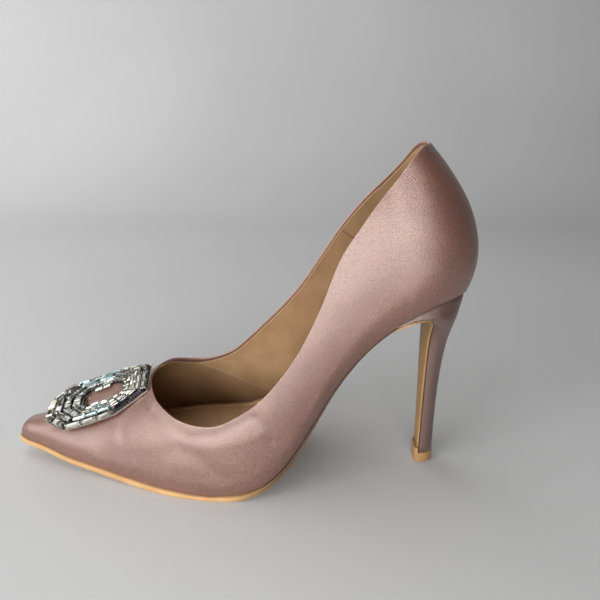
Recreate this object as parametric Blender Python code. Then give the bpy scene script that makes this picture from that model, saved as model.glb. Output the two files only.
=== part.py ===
"""A left high-heeled pump with a jewelled brooch, one object for each piece.

The tables are in millimetres, with x from the toe tip to the heel, y from the lateral
to the medial side and z from the ground. The meshes are made in metres, and the whole
shoe is moved so that the middle of its box stands over the origin, toe towards -X.
"""
import math

import bmesh
import bpy
import numpy as np

MM = 0.001

# Fits between pieces and thicknesses of the materials
GAP = 0.3
WALL = 1.8
INSOLE_THICK = 2.2
INSOLE_GAP = 0.35

# Landmarks along the shoe, from the toe tip
NOSE = 7.0
THROAT = 70.3
THROAT_LENGTH = 10.0
THROAT_HALF = 24.5
HEEL_STATION = 193.0
BACK_STATION = 223.0
COLLAR_LEAN = 12.0
COLLAR_HEIGHT = 157.3
COLLAR_BULGE = {"lateral": 2.4, "medial": 1.6}
LOW_SHARE = 0.22

# How many rows the upper's mesh has: to the throat, along the side, round the back, up the wall
TOE_ROWS = 11
SIDE_ROWS = 26
BACK_ROWS = 8
WALL_COLUMNS = 11

# Where the middle of the finished shoe's box lies in the tables' frame
CENTRE_X = 111.6
CENTRE_Y = -1.85


def table(columns, rows):
    """Named columns from a short list of rows."""
    return {column: np.array([row[index] for row in rows], float) for index, column in enumerate(columns)}


def read(source, column, at, key="station"):
    """Smooth value of a column, from a cubic through its rows."""
    knots = source[key]
    values = source[column]
    step = np.diff(knots)
    slope = np.diff(values) / step
    tangent = np.empty_like(values)
    tangent[1:-1] = (slope[:-1] * step[1:] + slope[1:] * step[:-1]) / (step[1:] + step[:-1])
    tangent[0] = 2 * slope[0] - tangent[1]
    tangent[-1] = 2 * slope[-1] - tangent[-2]
    at = np.clip(np.asarray(at, float), knots[0], knots[-1])
    row = np.clip(np.searchsorted(knots, at, side="right") - 1, 0, len(step) - 1)
    share = (at - knots[row]) / step[row]
    rest = 1 - share
    near = values[row] * (1 + 2 * share) * rest**2
    far = values[row + 1] * share**2 * (3 - 2 * share)
    bend = step[row] * share * rest * (tangent[row] * rest - tangent[row + 1] * share)
    return near + far + bend


# The last. floor: height of the feather edge. ridge: y of the crest. lateral and medial: how far
# the widest line stands from the heel-toe axis. tuck: how far the feather lies inside the widest
# line. belly: height of the widest line over the feather. crown: height of the crest over the
# feather. outer and inner: exponents of the section's curve on the two sides.
LAST = table(
    ("station", "floor", "ridge", "lateral", "medial", "tuck", "belly", "crown", "outer", "inner"),
    (
        (0, 10.0, -1.0, 4.5, 3.2, 0.3, 3.0, 8.0, 2.1, 2.2),
        (10, 8.6, 0.0, 7.6, 8.6, 0.4, 4.0, 11.0, 2.1, 2.2),
        (30, 6.1, 1.2, 16.4, 18.6, 0.5, 5.0, 17.5, 2.0, 2.2),
        (50, 4.4, 2.0, 23.6, 27.6, 0.6, 6.0, 27.0, 2.0, 2.3),
        (70, 3.1, 2.2, 31.3, 34.1, 0.7, 7.0, 40.8, 2.0, 2.5),
        (88, 2.5, 1.5, 37.0, 36.4, 0.8, 8.0, 53.0, 2.0, 2.3),
        (108, 2.5, 0.8, 40.3, 34.0, 1.2, 9.0, 71.0, 1.95, 2.1),
        (120, 3.5, 0.4, 40.0, 31.2, 1.8, 10.0, 82.0, 1.95, 2.0),
        (131, 8.2, 0.2, 38.2, 29.3, 2.6, 11.0, 90.0, 1.95, 2.0),
        (140, 16.5, 0.0, 35.4, 28.2, 3.5, 12.0, 93.0, 1.95, 2.0),
        (150, 32.2, 0.0, 32.0, 27.6, 4.2, 13.0, 93.0, 1.95, 2.0),
        (160, 49.7, 0.0, 29.6, 27.3, 4.5, 14.0, 92.0, 1.95, 2.0),
        (172, 66.4, 0.0, 28.5, 27.4, 4.4, 15.0, 88.0, 2.0, 2.0),
        (184, 78.5, 0.0, 28.4, 28.0, 4.0, 16.0, 84.0, 2.0, 2.0),
        (193, 85.3, 0.0, 28.6, 28.6, 3.6, 16.0, 82.0, 2.0, 2.0),
        (203, 90.1, 0.0, 28.7, 28.7, 3.4, 16.0, 82.0, 2.0, 2.0),
        (213, 92.7, 0.0, 28.7, 28.7, 3.2, 16.0, 82.0, 2.0, 2.0),
        (223, 93.2, 0.0, 28.7, 28.7, 3.2, 16.0, 82.0, 2.0, 2.0),
    ),
)

# Height of the topline over the ground, from the throat to where the collar's round back starts
TOPLINE = table(
    ("station", "lateral", "medial"),
    (
        (69, 44.8, 47.0),
        (73, 42.6, 45.3),
        (80, 39.8, 41.5),
        (88, 37.3, 39.6),
        (98, 36.3, 41.0),
        (109, 37.8, 46.9),
        (118, 42.4, 56.2),
        (127, 48.8, 66.1),
        (136, 58.3, 75.8),
        (145, 71.4, 87.2),
        (154, 90.2, 101.2),
        (162, 111.0, 113.7),
        (170, 124.1, 124.3),
        (181, 139.6, 136.4),
    ),
)

# The back seam in side view: how far back it stands at each height
BACK = table(
    ("height", "reach"),
    (
        (85, 218.2),
        (93, 221.0),
        (99, 223.0),
        (106, 224.3),
        (114, 224.0),
        (124, 221.7),
        (134, 217.3),
        (144, 210.9),
        (157, 200.0),
        (165, 193.2),
    ),
)

# The outsole: thickness, and how far its edge stands outside the feather
SOLE = table(
    ("station", "thick", "proud"),
    (
        (0, 2.4, 0.7),
        (30, 2.5, 1.0),
        (110, 2.5, 1.0),
        (128, 2.3, 0.9),
        (138, 1.9, -0.1),
        (148, 1.4, -1.2),
        (160, 1.1, -1.6),
        (172, 1.0, -1.5),
        (184, 1.0, -1.2),
    ),
)
SOLE_END = 184.0

# Past that the outsole's lower face follows this line, under the heel's seat and down its breast.
# half: half-width of the heel there. back and bow: height of the heel's back at the same level,
# and how far the level arches between the two.
BREAST = table(
    ("along", "x", "height", "half", "back", "bow"),
    (
        (184, 185.2, 77.2, 24.0, 91.0, 3.6),
        (187, 188.5, 79.5, 24.3, 89.0, 3.0),
        (191, 192.7, 81.5, 24.2, 86.0, 2.2),
        (195, 196.8, 82.7, 23.8, 83.2, 1.6),
        (198, 199.6, 82.9, 22.9, 80.8, 1.0),
        (201, 202.0, 81.9, 20.5, 77.2, 0.5),
        (203.5, 203.4, 79.7, 17.3, 74.0, 0.3),
        (207, 203.7, 76.4, 14.2, 70.0, 0.0),
        (211, 203.5, 72.4, 12.1, 66.0, 0.0),
        (218, 203.3, 65.4, 10.4, 60.0, 0.0),
        (230, 203.2, 53.4, 8.9, 49.6, 0.0),
        (245, 203.2, 38.4, 7.4, 36.6, 0.0),
        (260, 203.2, 23.4, 6.4, 22.6, 0.0),
        (277, 203.2, 6.4, 5.7, 6.4, 0.0),
    ),
)
BREAST_STEPS = (187, 189.5, 192, 194.5, 197, 199, 201, 202.5, 204, 206, 208.5, 212, 218, 230, 245, 260)
FLAP_THICK = 0.9
FLAP_INSET = 0.5
WING_START = 187.0

# The heel's back in side view, down to the top piece
HEEL_BACK = table(
    ("height", "reach"),
    (
        (6.0, 211.4),
        (20, 211.4),
        (35, 211.6),
        (50, 212.3),
        (61, 213.4),
        (71, 214.9),
        (79, 216.7),
        (85, 218.5),
        (91, 219.9),
    ),
)

# The top piece under the heel, with the raised lip in front of it
TOP_PIECE_HEIGHT = 5.9
TOP_PIECE_HALF = 5.9
TOP_PIECE_FRONT = 201.9
TOP_PIECE_BACK = 211.7
TOP_PIECE_ROUND = 0.7
LIP_HEIGHT = 8.2
LIP_DEPTH = 1.9

# The brooch: an elongated octagon lying along the vamp, its near side lower than its far side.
# It is bent along its length like the vamp: BROOCH_BEND high at BROOCH_BEND_LENGTH from its middle.
BROOCH_CENTRE = (43.9, -3.6, 34.1)
BROOCH_RISE = math.radians(21.8)
BROOCH_YAW = math.radians(-2.2)
BROOCH_BANK = math.radians(21.7)
BROOCH_BEND = 1.4
BROOCH_BEND_LENGTH = 20.0
BROOCH_HALF_LENGTH = 29.3
BROOCH_HALF_WIDTH = 14.6
BROOCH_END_HALF = 7.3
BROOCH_SIDE_HALF = 14.4
BROOCH_TAPER = 1.3
BROOCH_SKEW = -3.8
WINDOW_SHARE = 0.38
WINDOW_SHIFT = 2.5
PLATE_THICK = 1.0
SETTING_THICK = 1.3
SETTING_SHARE = 0.80
RIM_STONE_HEIGHT = 1.85
RIM_STONE_IN = 0.83
RIM_STONE_OUT = 0.985
PLATE_LOW = -3.0
STONE_GAP = 0.15


def nose(station):
    """Roundness of the toe's tip: 0 at the tip, 1 from NOSE on."""
    clipped = np.clip(station, 0, NOSE)
    return np.sqrt(clipped * (2 * NOSE - clipped)) / NOSE


def upper_row(station, side, share, inset=0.0):
    """Points of a row on the upper, share 0 at the feather and 1 at the crest or the topline."""
    share = np.asarray(share, float)
    sign = -1 if side == "lateral" else 1
    past = max(0.0, (station - THROAT) / (HEEL_STATION - THROAT))
    upward = np.clip((share - LOW_SHARE) / (1 - LOW_SHARE), 0, 1)
    x = station - COLLAR_LEAN * past**2 * upward**1.5
    x = x + inset * 1.2 * max(0.0, 1 - station / 25)
    roundness = nose(station)
    ridge = read(LAST, "ridge", x)
    half = (read(LAST, side, x) - sign * ridge - inset) * roundness
    floor = read(LAST, "floor", x)
    tuck = read(LAST, "tuck", x) * roundness
    belly = read(LAST, "belly", x) * roundness
    crown = (read(LAST, "crown", x) - inset * 1.1) * roundness
    power = read(LAST, "outer" if side == "lateral" else "inner", x)
    turn = np.full_like(x, math.pi / 2)
    if station > THROAT:
        topline = read(TOPLINE, side, x)
        whole_crown = read(LAST, "crown", x) * roundness
        lift = np.clip((topline - floor - belly) / (whole_crown - belly), 1e-6, 1)
        turn = np.arcsin(lift ** (power / 2))
        away = (station - THROAT) / THROAT_LENGTH
        if away < 1:
            opened = THROAT_HALF * math.sqrt(away) / half
            keep = away**2 * (3 - 2 * away)
            turn = turn * keep + np.arccos(np.clip(opened, 0, 1) ** (power / 2)) * (1 - keep)
    below = share < LOW_SHARE
    rise = share / LOW_SHARE
    angle = upward * turn
    across = half * np.cos(angle).clip(0) ** (2 / power)
    across = np.where(below, half - tuck * (1 - rise) ** 2, across)
    height = belly + (crown - belly) * np.sin(angle).clip(0) ** (2 / power)
    height = np.where(below, belly * rise, height)
    return np.stack([x, ridge + sign * across, floor + height], -1)


def upper_back_row(turn, side, share, inset=0.0):
    """Points of a row on the heel's round back, turn 0 at HEEL_STATION and 1 at the back seam."""
    base = upper_row(HEEL_STATION, side, share, inset)
    other = upper_row(HEEL_STATION, "medial" if side == "lateral" else "lateral", share, inset)
    bottom = base[0, 2]
    top = base[-1, 2]
    part = (base[:, 2] - bottom) / (top - bottom)
    other_part = (other[:, 2] - other[0, 2]) / (other[-1, 2] - other[0, 2])
    backward = math.sin(turn * math.pi / 2)
    part = part + (other_part - part) * backward / 2
    across = math.cos(turn * math.pi / 2)
    station = HEEL_STATION + (BACK_STATION - HEEL_STATION) * backward
    floor = read(LAST, "floor", station)
    bulge = COLLAR_BULGE[side]
    collar = top + (COLLAR_HEIGHT - inset * 0.7 - top) * (1 - (1 - backward) ** bulge)
    height = floor + (collar - floor) * part
    reach = read(BACK, "reach", height, key="height") - inset
    x = base[:, 0] + (reach - base[:, 0]) * backward
    return np.stack([x, base[:, 1] * across, height], -1)


def stations_to_throat(count):
    """Stations from the toe tip to the throat, closer together at the tip."""
    share = np.linspace(0, 1, count + 1)
    return list(THROAT * (0.25 * share + 0.75 * share**2))


def stations_to_heel(count, even=0.65):
    """Stations past the throat, closer together there, up to the heel's round back."""
    share = np.linspace(0, 1, count + 1)[1:]
    return list(THROAT + (HEEL_STATION - THROAT) * (even * share + (1 - even) * share**2))


def upper_grid(side, inset):
    """All rows of one side of the upper, from the toe's tip to the back seam."""
    share = np.linspace(0, 1, WALL_COLUMNS + 1)
    rows = []
    for station in stations_to_throat(TOE_ROWS) + stations_to_heel(SIDE_ROWS, 0.25):
        rows.append(upper_row(station, side, share, inset))
    for turn in np.linspace(0, 1, BACK_ROWS + 1)[1:]:
        rows.append(upper_back_row(turn, side, share, inset))
    return np.array(rows)


def feather_rows(inset, toe_rows, side_rows, back_rows, last_station=HEEL_STATION):
    """Rows across the bottom: x, height, the two edges, and the slope of the floor."""
    rows = []
    for station in stations_to_throat(toe_rows) + stations_to_heel(side_rows):
        if station > last_station + 1e-6:
            break
        x = station + inset * 1.2 * max(0.0, 1 - station / 25)
        roundness = nose(station)
        ridge = float(read(LAST, "ridge", x))
        tuck = float(read(LAST, "tuck", x))
        lateral = ridge - (float(read(LAST, "lateral", x)) + ridge - tuck - inset) * roundness
        medial = ridge + (float(read(LAST, "medial", x)) - ridge - tuck - inset) * roundness
        rows.append((x, float(read(LAST, "floor", x)), lateral, medial))
    if last_station < HEEL_STATION:
        return rows
    lateral = rows[-1][2]
    medial = rows[-1][3]
    for turn in np.linspace(0, 1, back_rows + 1)[1:]:
        backward = math.sin(turn * math.pi / 2)
        across = math.cos(turn * math.pi / 2)
        station = HEEL_STATION + (BACK_STATION - HEEL_STATION) * backward
        floor = float(read(LAST, "floor", station))
        reach = float(read(BACK, "reach", floor, key="height")) - inset
        x = HEEL_STATION + (reach - HEEL_STATION) * backward
        rows.append((x, floor, lateral * across, medial * across))
    return rows


def material(name, colour, roughness, metallic=0.0, transmission=0.0):
    """A Principled material."""
    made = bpy.data.materials.new(name)
    made.use_nodes = True
    shader = made.node_tree.nodes["Principled BSDF"]
    shader.inputs["Base Color"].default_value = (*colour, 1)
    shader.inputs["Roughness"].default_value = roughness
    shader.inputs["Metallic"].default_value = metallic
    shader.inputs["Transmission Weight"].default_value = transmission
    return made


def place(point):
    """A point of the tables' frame in the shoe's own frame, in metres."""
    return ((point[0] - CENTRE_X) * MM, (point[1] - CENTRE_Y) * MM, point[2] * MM)


def solid(name, points, faces, look, smooth=True):
    """One closed object from points in millimetres and faces, with coinciding points joined."""
    mesh = bmesh.new()
    corners = [mesh.verts.new(place(point)) for point in points]
    for face in faces:
        if len(set(face)) == len(face):
            mesh.faces.new([corners[index] for index in face])
    bmesh.ops.remove_doubles(mesh, verts=mesh.verts, dist=2e-6)
    bmesh.ops.triangulate(mesh, faces=mesh.faces)
    bmesh.ops.dissolve_degenerate(mesh, dist=1e-7, edges=mesh.edges)
    bmesh.ops.recalc_face_normals(mesh, faces=mesh.faces)
    data = bpy.data.meshes.new(name)
    mesh.to_mesh(data)
    mesh.free()
    if smooth:
        data.shade_smooth()
    data.materials.append(look)
    made = bpy.data.objects.new(name, data)
    bpy.context.scene.collection.objects.link(made)
    return made


def loft(name, loops, look, smooth=True):
    """A closed solid through loops of equally many points, with both ends filled."""
    count = len(loops[0])
    points = [point for loop in loops for point in loop]
    faces = []
    for level in range(len(loops) - 1):
        base = level * count
        for index in range(count):
            after = (index + 1) % count
            faces.append((base + index, base + after, base + count + after, base + count + index))
    faces.append(tuple(range(count))[::-1])
    faces.append(tuple(range(len(points) - count, len(points))))
    return solid(name, points, faces, look, smooth)


def upper(look):
    """The hollow upper, open at the collar and underneath."""
    points = []
    faces = []
    rows = TOE_ROWS + SIDE_ROWS + BACK_ROWS + 1
    columns = WALL_COLUMNS + 1
    starts = {}
    for side in ("lateral", "medial"):
        for layer, inset in (("outer", 0.0), ("inner", WALL)):
            starts[side, layer] = len(points)
            points.extend(upper_grid(side, inset).reshape(-1, 3))

    def corner(side, layer, row, column):
        return starts[side, layer] + row * columns + column

    for side in ("lateral", "medial"):
        for row in range(rows - 1):
            for layer in ("outer", "inner"):
                for column in range(columns - 1):
                    faces.append(
                        (
                            corner(side, layer, row, column),
                            corner(side, layer, row + 1, column),
                            corner(side, layer, row + 1, column + 1),
                            corner(side, layer, row, column + 1),
                        )
                    )
            rims = [0]
            if row >= TOE_ROWS:
                rims.append(columns - 1)
            for column in rims:
                faces.append(
                    (
                        corner(side, "outer", row, column),
                        corner(side, "outer", row + 1, column),
                        corner(side, "inner", row + 1, column),
                        corner(side, "inner", row, column),
                    )
                )
    return solid("upper", points, faces, look)


def sheet_loops(rows, count):
    """Loops across rows of (low point, high point) in side view with the row's two edges."""
    loops = []
    share = np.linspace(0, 1, count + 1)
    for low, high, lateral, medial in rows:
        edge = min(0.45, 0.25 * (medial - lateral))
        loop = []
        for part in share:
            y = lateral + edge + (medial - lateral - 2 * edge) * part
            loop.append((low[0], y, low[1]))
        for part in (0.3, 0.7):
            loop.append((low[0] + (high[0] - low[0]) * part, medial, low[1] + (high[1] - low[1]) * part))
        for part in share[::-1]:
            y = lateral + edge + (medial - lateral - 2 * edge) * part
            loop.append((high[0], y, high[1]))
        for part in (0.7, 0.3):
            loop.append((low[0] + (high[0] - low[0]) * part, lateral, low[1] + (high[1] - low[1]) * part))
        loops.append(loop)
    return loops


def floor_normal(x):
    """Upward normal of the floor line in side view."""
    rise = float(read(LAST, "floor", x + 0.5)) - float(read(LAST, "floor", x - 0.5))
    length = math.hypot(1.0, rise)
    return (-rise / length, 1.0 / length)


def insole(look):
    """The footbed, lying on the outsole and the heel inside the upper."""
    rows = []
    for x, floor, lateral, medial in feather_rows(WALL + INSOLE_GAP, 10, 18, 6):
        normal = floor_normal(x) if x < 190 else floor_normal(190 + (x - 190) * 0.4)
        width = max(medial - lateral, 0.02)
        middle = (medial + lateral) / 2
        high = (x + normal[0] * INSOLE_THICK, floor + normal[1] * INSOLE_THICK)
        rows.append(((x, floor), high, middle - width / 2, middle + width / 2))
    return loft("insole", sheet_loops(rows, 6), look)


def breast_point(along, offset):
    """A point of the outsole's lower face past SOLE_END, moved inward by offset."""
    x = float(read(BREAST, "x", along, key="along"))
    height = float(read(BREAST, "height", along, key="along"))
    ahead_x = float(read(BREAST, "x", along + 0.3, key="along"))
    ahead_x -= float(read(BREAST, "x", along - 0.3, key="along"))
    ahead_z = float(read(BREAST, "height", along + 0.3, key="along"))
    ahead_z -= float(read(BREAST, "height", along - 0.3, key="along"))
    length = math.hypot(ahead_x, ahead_z)
    return (x - ahead_z / length * offset, height + ahead_x / length * offset)


def outsole(look):
    """The outsole, from the toe up the shank and down the heel's breast to the top piece."""
    rows = []
    for x, floor, lateral, medial in feather_rows(0.0, 12, 22, 0, SOLE_END):
        thick = float(read(SOLE, "thick", x))
        proud = float(read(SOLE, "proud", x)) * float(nose(x))
        forward = -1.0 * max(0.0, 1 - x / 15)
        normal = floor_normal(x)
        high = (x + forward - normal[0] * GAP, floor - normal[1] * GAP)
        deep = GAP + thick
        low = (x + forward - normal[0] * deep, max(0.0, floor - normal[1] * deep))
        width = max(medial - lateral + 2 * proud, 0.02)
        middle = (medial + lateral) / 2
        rows.append((low, high, middle - width / 2, middle + width / 2))
    last = rows[-1]
    for along in BREAST_STEPS + (274.8,):
        low = breast_point(along, 0.0)
        high = breast_point(along, FLAP_THICK)
        half = float(read(BREAST, "half", along, key="along")) - FLAP_INSET
        blend = max(0.0, 1 - (along - 184) / 6)
        lateral = -half * (1 - blend) + last[2] * blend
        medial = half * (1 - blend) + last[3] * blend
        rows.append((low, high, lateral, medial))
    return loft("outsole", sheet_loops(rows, 6), look)


def heel_loop(front, half, back, bow, seat=False):
    """One closed level of the heel: a straight front, short sides and a round back."""
    reach = float(read(HEEL_BACK, "reach", back, key="height"))
    straight = 0.19
    outline = []
    for part in (0.0, 0.5, 1.0):
        x = front[0] + (reach - front[0]) * straight * part
        outline.append((x, half, x))
    start = outline[-1][0]
    for turn in np.linspace(0, math.pi / 2, 7)[1:]:
        x = start + (reach - start) * math.sin(turn)
        station = start + (BACK_STATION - start) * math.sin(turn)
        outline.append((x, half * math.cos(turn), station))
    loop = []
    for sign, part in ((-1, outline), (1, outline[-2::-1])):
        for x, y, station in part:
            share = (x - front[0]) / (reach - front[0])
            z = front[1] + (back - front[1]) * share + bow * 4 * share * (1 - share)
            if seat:
                z = float(read(LAST, "floor", station)) - GAP
            loop.append((x, sign * y, z))
    for part in (0.75, 0.5, 0.25):
        loop.append((front[0], half * (2 * part - 1), loop[0][2]))
    return loop


def heel(look):
    """The covered heel: its seat under the upper, two thin wings forward, and the slim shaft."""
    seat_front = (WING_START + 0.2, 0.0)
    loops = [heel_loop(seat_front, 24.5, 92.0, 0.0, seat=True)]
    for along in BREAST_STEPS + (277.0,):
        front = breast_point(along, FLAP_THICK + GAP)
        half = float(read(BREAST, "half", along, key="along"))
        back = float(read(BREAST, "back", along, key="along"))
        bow = float(read(BREAST, "bow", along, key="along"))
        loops.append(heel_loop(front, half, back, bow))
    return loft("heel", loops, look)


def top_piece(look):
    """The plastic tip that the heel stands on."""
    def level(height, inset, front_only=0.0):
        front = TOP_PIECE_FRONT + inset
        back = TOP_PIECE_BACK - inset
        half = TOP_PIECE_HALF - inset
        start = front + (back - front) * 0.25
        loop = []
        for sign, order in ((-1, 1), (1, -1)):
            part = [(front + 0.7, half - 0.5), (start, half)]
            for turn in np.linspace(0, math.pi / 2, 7)[1:]:
                part.append((start + (back - start) * math.sin(turn), half * math.cos(turn)))
            part = [(front, half - 1.6)] + part
            if sign > 0:
                part = part[:-1]
            for x, y in part[::order]:
                if front_only:
                    x = min(x, TOP_PIECE_FRONT + front_only)
                loop.append((x, sign * y, height))
        return loop

    loops = [
        level(0.0, TOP_PIECE_ROUND),
        level(TOP_PIECE_ROUND * 0.8, 0.12),
        level(TOP_PIECE_HEIGHT - 0.2, 0.0),
        level(TOP_PIECE_HEIGHT - 0.2, 0.0, LIP_DEPTH),
        level(LIP_HEIGHT, 0.25, LIP_DEPTH),
    ]
    return loft("top_piece", loops, look, smooth=False)


def brooch_axes():
    """The brooch's own directions: along, across and out of its face."""
    along = np.array(
        [
            math.cos(BROOCH_RISE) * math.cos(BROOCH_YAW),
            math.cos(BROOCH_RISE) * math.sin(BROOCH_YAW),
            math.sin(BROOCH_RISE),
        ]
    )
    level = np.cross([0, 0, 1], along)
    level /= np.linalg.norm(level)
    upward = np.cross(along, level)
    across = level * math.cos(BROOCH_BANK) + upward * math.sin(BROOCH_BANK)
    out = np.cross(along, across)
    return along, across, out


def brooch_point(u, v, w):
    """A point of the brooch's own frame in the tables' frame, w = 0 at the stones' top."""
    along, across, out = brooch_axes()
    bend = BROOCH_BEND * (u / BROOCH_BEND_LENGTH) ** 2
    return np.array(BROOCH_CENTRE) + along * u + across * v + out * (w + bend)


def octagon(share):
    """The brooch's outline at 1 and its window's outline at WINDOW_SHARE."""
    shift = WINDOW_SHIFT * (1 - share) / (1 - WINDOW_SHARE)
    throat_end = BROOCH_HALF_LENGTH * share + shift
    toe_end = -BROOCH_HALF_LENGTH * share + shift
    half = BROOCH_HALF_WIDTH * share
    throat_half = (BROOCH_END_HALF + BROOCH_TAPER) * share
    toe_half = (BROOCH_END_HALF - BROOCH_TAPER) * share
    side_start = (BROOCH_SKEW - BROOCH_SIDE_HALF) * share + shift
    side_end = (BROOCH_SKEW + BROOCH_SIDE_HALF) * share + shift
    return [
        (throat_end, -throat_half),
        (throat_end, throat_half),
        (side_end, half),
        (side_start, half),
        (toe_end, toe_half),
        (toe_end, -toe_half),
        (side_start, -half),
        (side_end, -half),
    ]


def divided(outline, count):
    """A closed outline with each of its sides divided, so that it can follow the bend."""
    points = []
    for start, end in zip(outline, outline[1:] + outline[:1]):
        for part in np.linspace(0, 1, count + 1)[:-1]:
            points.append((start[0] + (end[0] - start[0]) * part, start[1] + (end[1] - start[1]) * part))
    return points


def frame_ring(name, outer, inner, low, high, look):
    """An octagonal ring between two shares of the outline and between two heights."""
    rows = []
    shares = np.linspace(outer, inner, 4)
    for share, height in [(share, high) for share in shares] + [(share, low) for share in shares[::-1]]:
        rows.append([brooch_point(u, v, height) for u, v in divided(octagon(share), 4)])
    count = len(rows[0])
    points = [point for row in rows for point in row]
    faces = []
    for layer in range(len(rows)):
        below = count * layer
        above = count * ((layer + 1) % len(rows))
        for index in range(count):
            after = (index + 1) % count
            faces.append((below + index, below + after, above + after, above + index))
    return solid(name, points, faces, look, smooth=False)


def brooch_plate(look):
    """The thin metal plate under the stones, with its open window."""
    return frame_ring(
        "brooch_plate", 1.0, WINDOW_SHARE, PLATE_LOW, PLATE_LOW + PLATE_THICK, look
    )


def brooch_setting(look):
    """The raised metal bed that holds the inner stones."""
    low = PLATE_LOW + PLATE_THICK + STONE_GAP
    return frame_ring(
        "brooch_setting", SETTING_SHARE, WINDOW_SHARE * 1.03, low, low + SETTING_THICK, look
    )


def rim_stone(index, look):
    """One long cut stone on a side of the brooch's edge, with a flat table and bevels."""
    low = PLATE_LOW + PLATE_THICK + STONE_GAP
    high = low + RIM_STONE_HEIGHT
    outer = octagon(RIM_STONE_OUT)
    inner = octagon(RIM_STONE_IN)
    after = (index + 1) % 8
    corners = []
    for u, v in (outer[index], outer[after], inner[after], inner[index]):
        corners.append(np.array([u, v]))
    middle = sum(corners) / 4
    trimmed = []
    for one, other in ((0, 1), (1, 0), (2, 3), (3, 2)):
        side = corners[other] - corners[one]
        trimmed.append(corners[one] + side / np.linalg.norm(side) * 0.35)
    loops = []
    for height, shrink in ((low, 0.93), (low + 0.9, 1.0), (high, 0.72)):
        outline = [tuple(middle + (corner - middle) * shrink) for corner in trimmed]
        loops.append([brooch_point(u, v, height) for u, v in divided(outline, 4)])
    return loft("rim_stone_" + str(index + 1), loops, look, smooth=False)


for existing in list(bpy.data.objects):
    bpy.data.objects.remove(existing, do_unlink=True)

satin = material("pink satin", (0.50, 0.29, 0.25), 0.5)
lining = material("tan lining", (0.36, 0.21, 0.12), 0.6)
sole_tan = material("tan sole", (0.62, 0.38, 0.20), 0.5)
tip_tan = material("tip plastic", (0.42, 0.22, 0.08), 0.4)
silver = material("silver metal", (0.75, 0.75, 0.73), 0.2, metallic=1.0)
crystal = material("clear stone", (0.85, 0.93, 0.93), 0.05, transmission=0.8)

upper(satin)
insole(lining)
outsole(sole_tan)
heel(satin)
top_piece(tip_tan)
brooch_plate(silver)
brooch_setting(silver)
for stone in range(8):
    rim_stone(stone, crystal)
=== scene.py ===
# %% [markdown]
# # A satin pump with a jewelled brooch
# This notebook dresses the imported solids of a left high-heeled pump. The solids say where everything
# is. Here most of them are rebuilt finer, and they get the finish of the real shoe: satin that is
# pulled over a last, a tan lining, a thin sole that runs down the heel, and a brooch of cut stones.
# The sizes are in millimetres from the toe's tip, as a shoemaker would note them.

# %% Load the imported solids
import math
import bmesh
import bpy
import numpy as np
from mathutils import Matrix, Vector, noise
from mathutils.bvhtree import BVHTree


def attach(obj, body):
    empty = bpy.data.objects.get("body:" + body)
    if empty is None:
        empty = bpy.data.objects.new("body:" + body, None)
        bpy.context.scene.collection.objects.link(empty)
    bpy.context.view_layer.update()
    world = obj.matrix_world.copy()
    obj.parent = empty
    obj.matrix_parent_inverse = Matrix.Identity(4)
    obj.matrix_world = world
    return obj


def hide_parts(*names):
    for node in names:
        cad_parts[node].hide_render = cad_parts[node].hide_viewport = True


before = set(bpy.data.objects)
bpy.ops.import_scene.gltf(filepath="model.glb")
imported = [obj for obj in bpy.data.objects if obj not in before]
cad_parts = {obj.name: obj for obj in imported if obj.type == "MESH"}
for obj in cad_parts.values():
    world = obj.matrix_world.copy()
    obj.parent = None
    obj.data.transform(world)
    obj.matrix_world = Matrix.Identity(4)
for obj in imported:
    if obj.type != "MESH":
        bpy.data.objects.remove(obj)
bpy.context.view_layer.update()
MM = 0.001
CENTRE = np.array([111.6, -1.85, 0.0])

# %% [markdown]
# ## The last
# A pump has no frame of its own. It keeps the shape of the last it was made on, so the form is a
# row of cross-sections along the foot: how high the bottom's edge stands, how wide the two sides
# are, and how high the crest is. A cubic curve through few stations gives a form without bumps,
# which a mesh that is pushed about by hand would not.

# %% Sections of the last, in millimetres
def table(columns, rows):
    """Named columns from a short list of rows. The first column says where each row stands."""
    return dict(zip(columns.split(), np.array(rows, float).T))


LAST = table("station floor ridge lateral medial tuck belly crown outer inner", (
    (0, 10, -1, 4.5, 3.2, 0.3, 3, 8, 2.1, 2.2),
    (10, 8.6, 0, 7.6, 8.6, 0.4, 4, 11, 2.1, 2.2),
    (30, 6.1, 1.2, 16.4, 18.6, 0.5, 5, 17.5, 2, 2.2),
    (50, 4.4, 2, 23.6, 27.6, 0.6, 6, 27, 2, 2.3),
    (70, 3.1, 2.2, 31.3, 34.1, 0.7, 7, 40.8, 2, 2.5),
    (88, 2.5, 1.5, 37, 36.4, 0.8, 8, 53, 2, 2.3),
    (108, 2.5, 0.8, 40.3, 34, 1.2, 9, 71, 1.95, 2.1),
    (120, 3.5, 0.4, 40, 31.2, 1.8, 10, 82, 1.95, 2),
    (131, 8.2, 0.2, 38.2, 29.3, 2.6, 11, 90, 1.95, 2),
    (140, 16.5, 0, 35.4, 28.2, 3.5, 12, 93, 1.95, 2),
    (150, 32.2, 0, 32, 27.6, 4.2, 13, 93, 1.95, 2),
    (160, 49.7, 0, 29.6, 27.3, 4.5, 14, 92, 1.95, 2),
    (172, 66.4, 0, 28.5, 27.4, 4.4, 15, 88, 2, 2),
    (184, 78.5, 0, 28.4, 28, 4, 16, 84, 2, 2),
    (193, 85.3, 0, 28.6, 28.6, 3.6, 16, 82, 2, 2),
    (203, 90.1, 0, 28.7, 28.7, 3.4, 16, 82, 2, 2),
    (213, 92.7, 0, 28.7, 28.7, 3.2, 16, 82, 2, 2),
    (223, 93.2, 0, 28.7, 28.7, 3.2, 16, 82, 2, 2),
))
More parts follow.
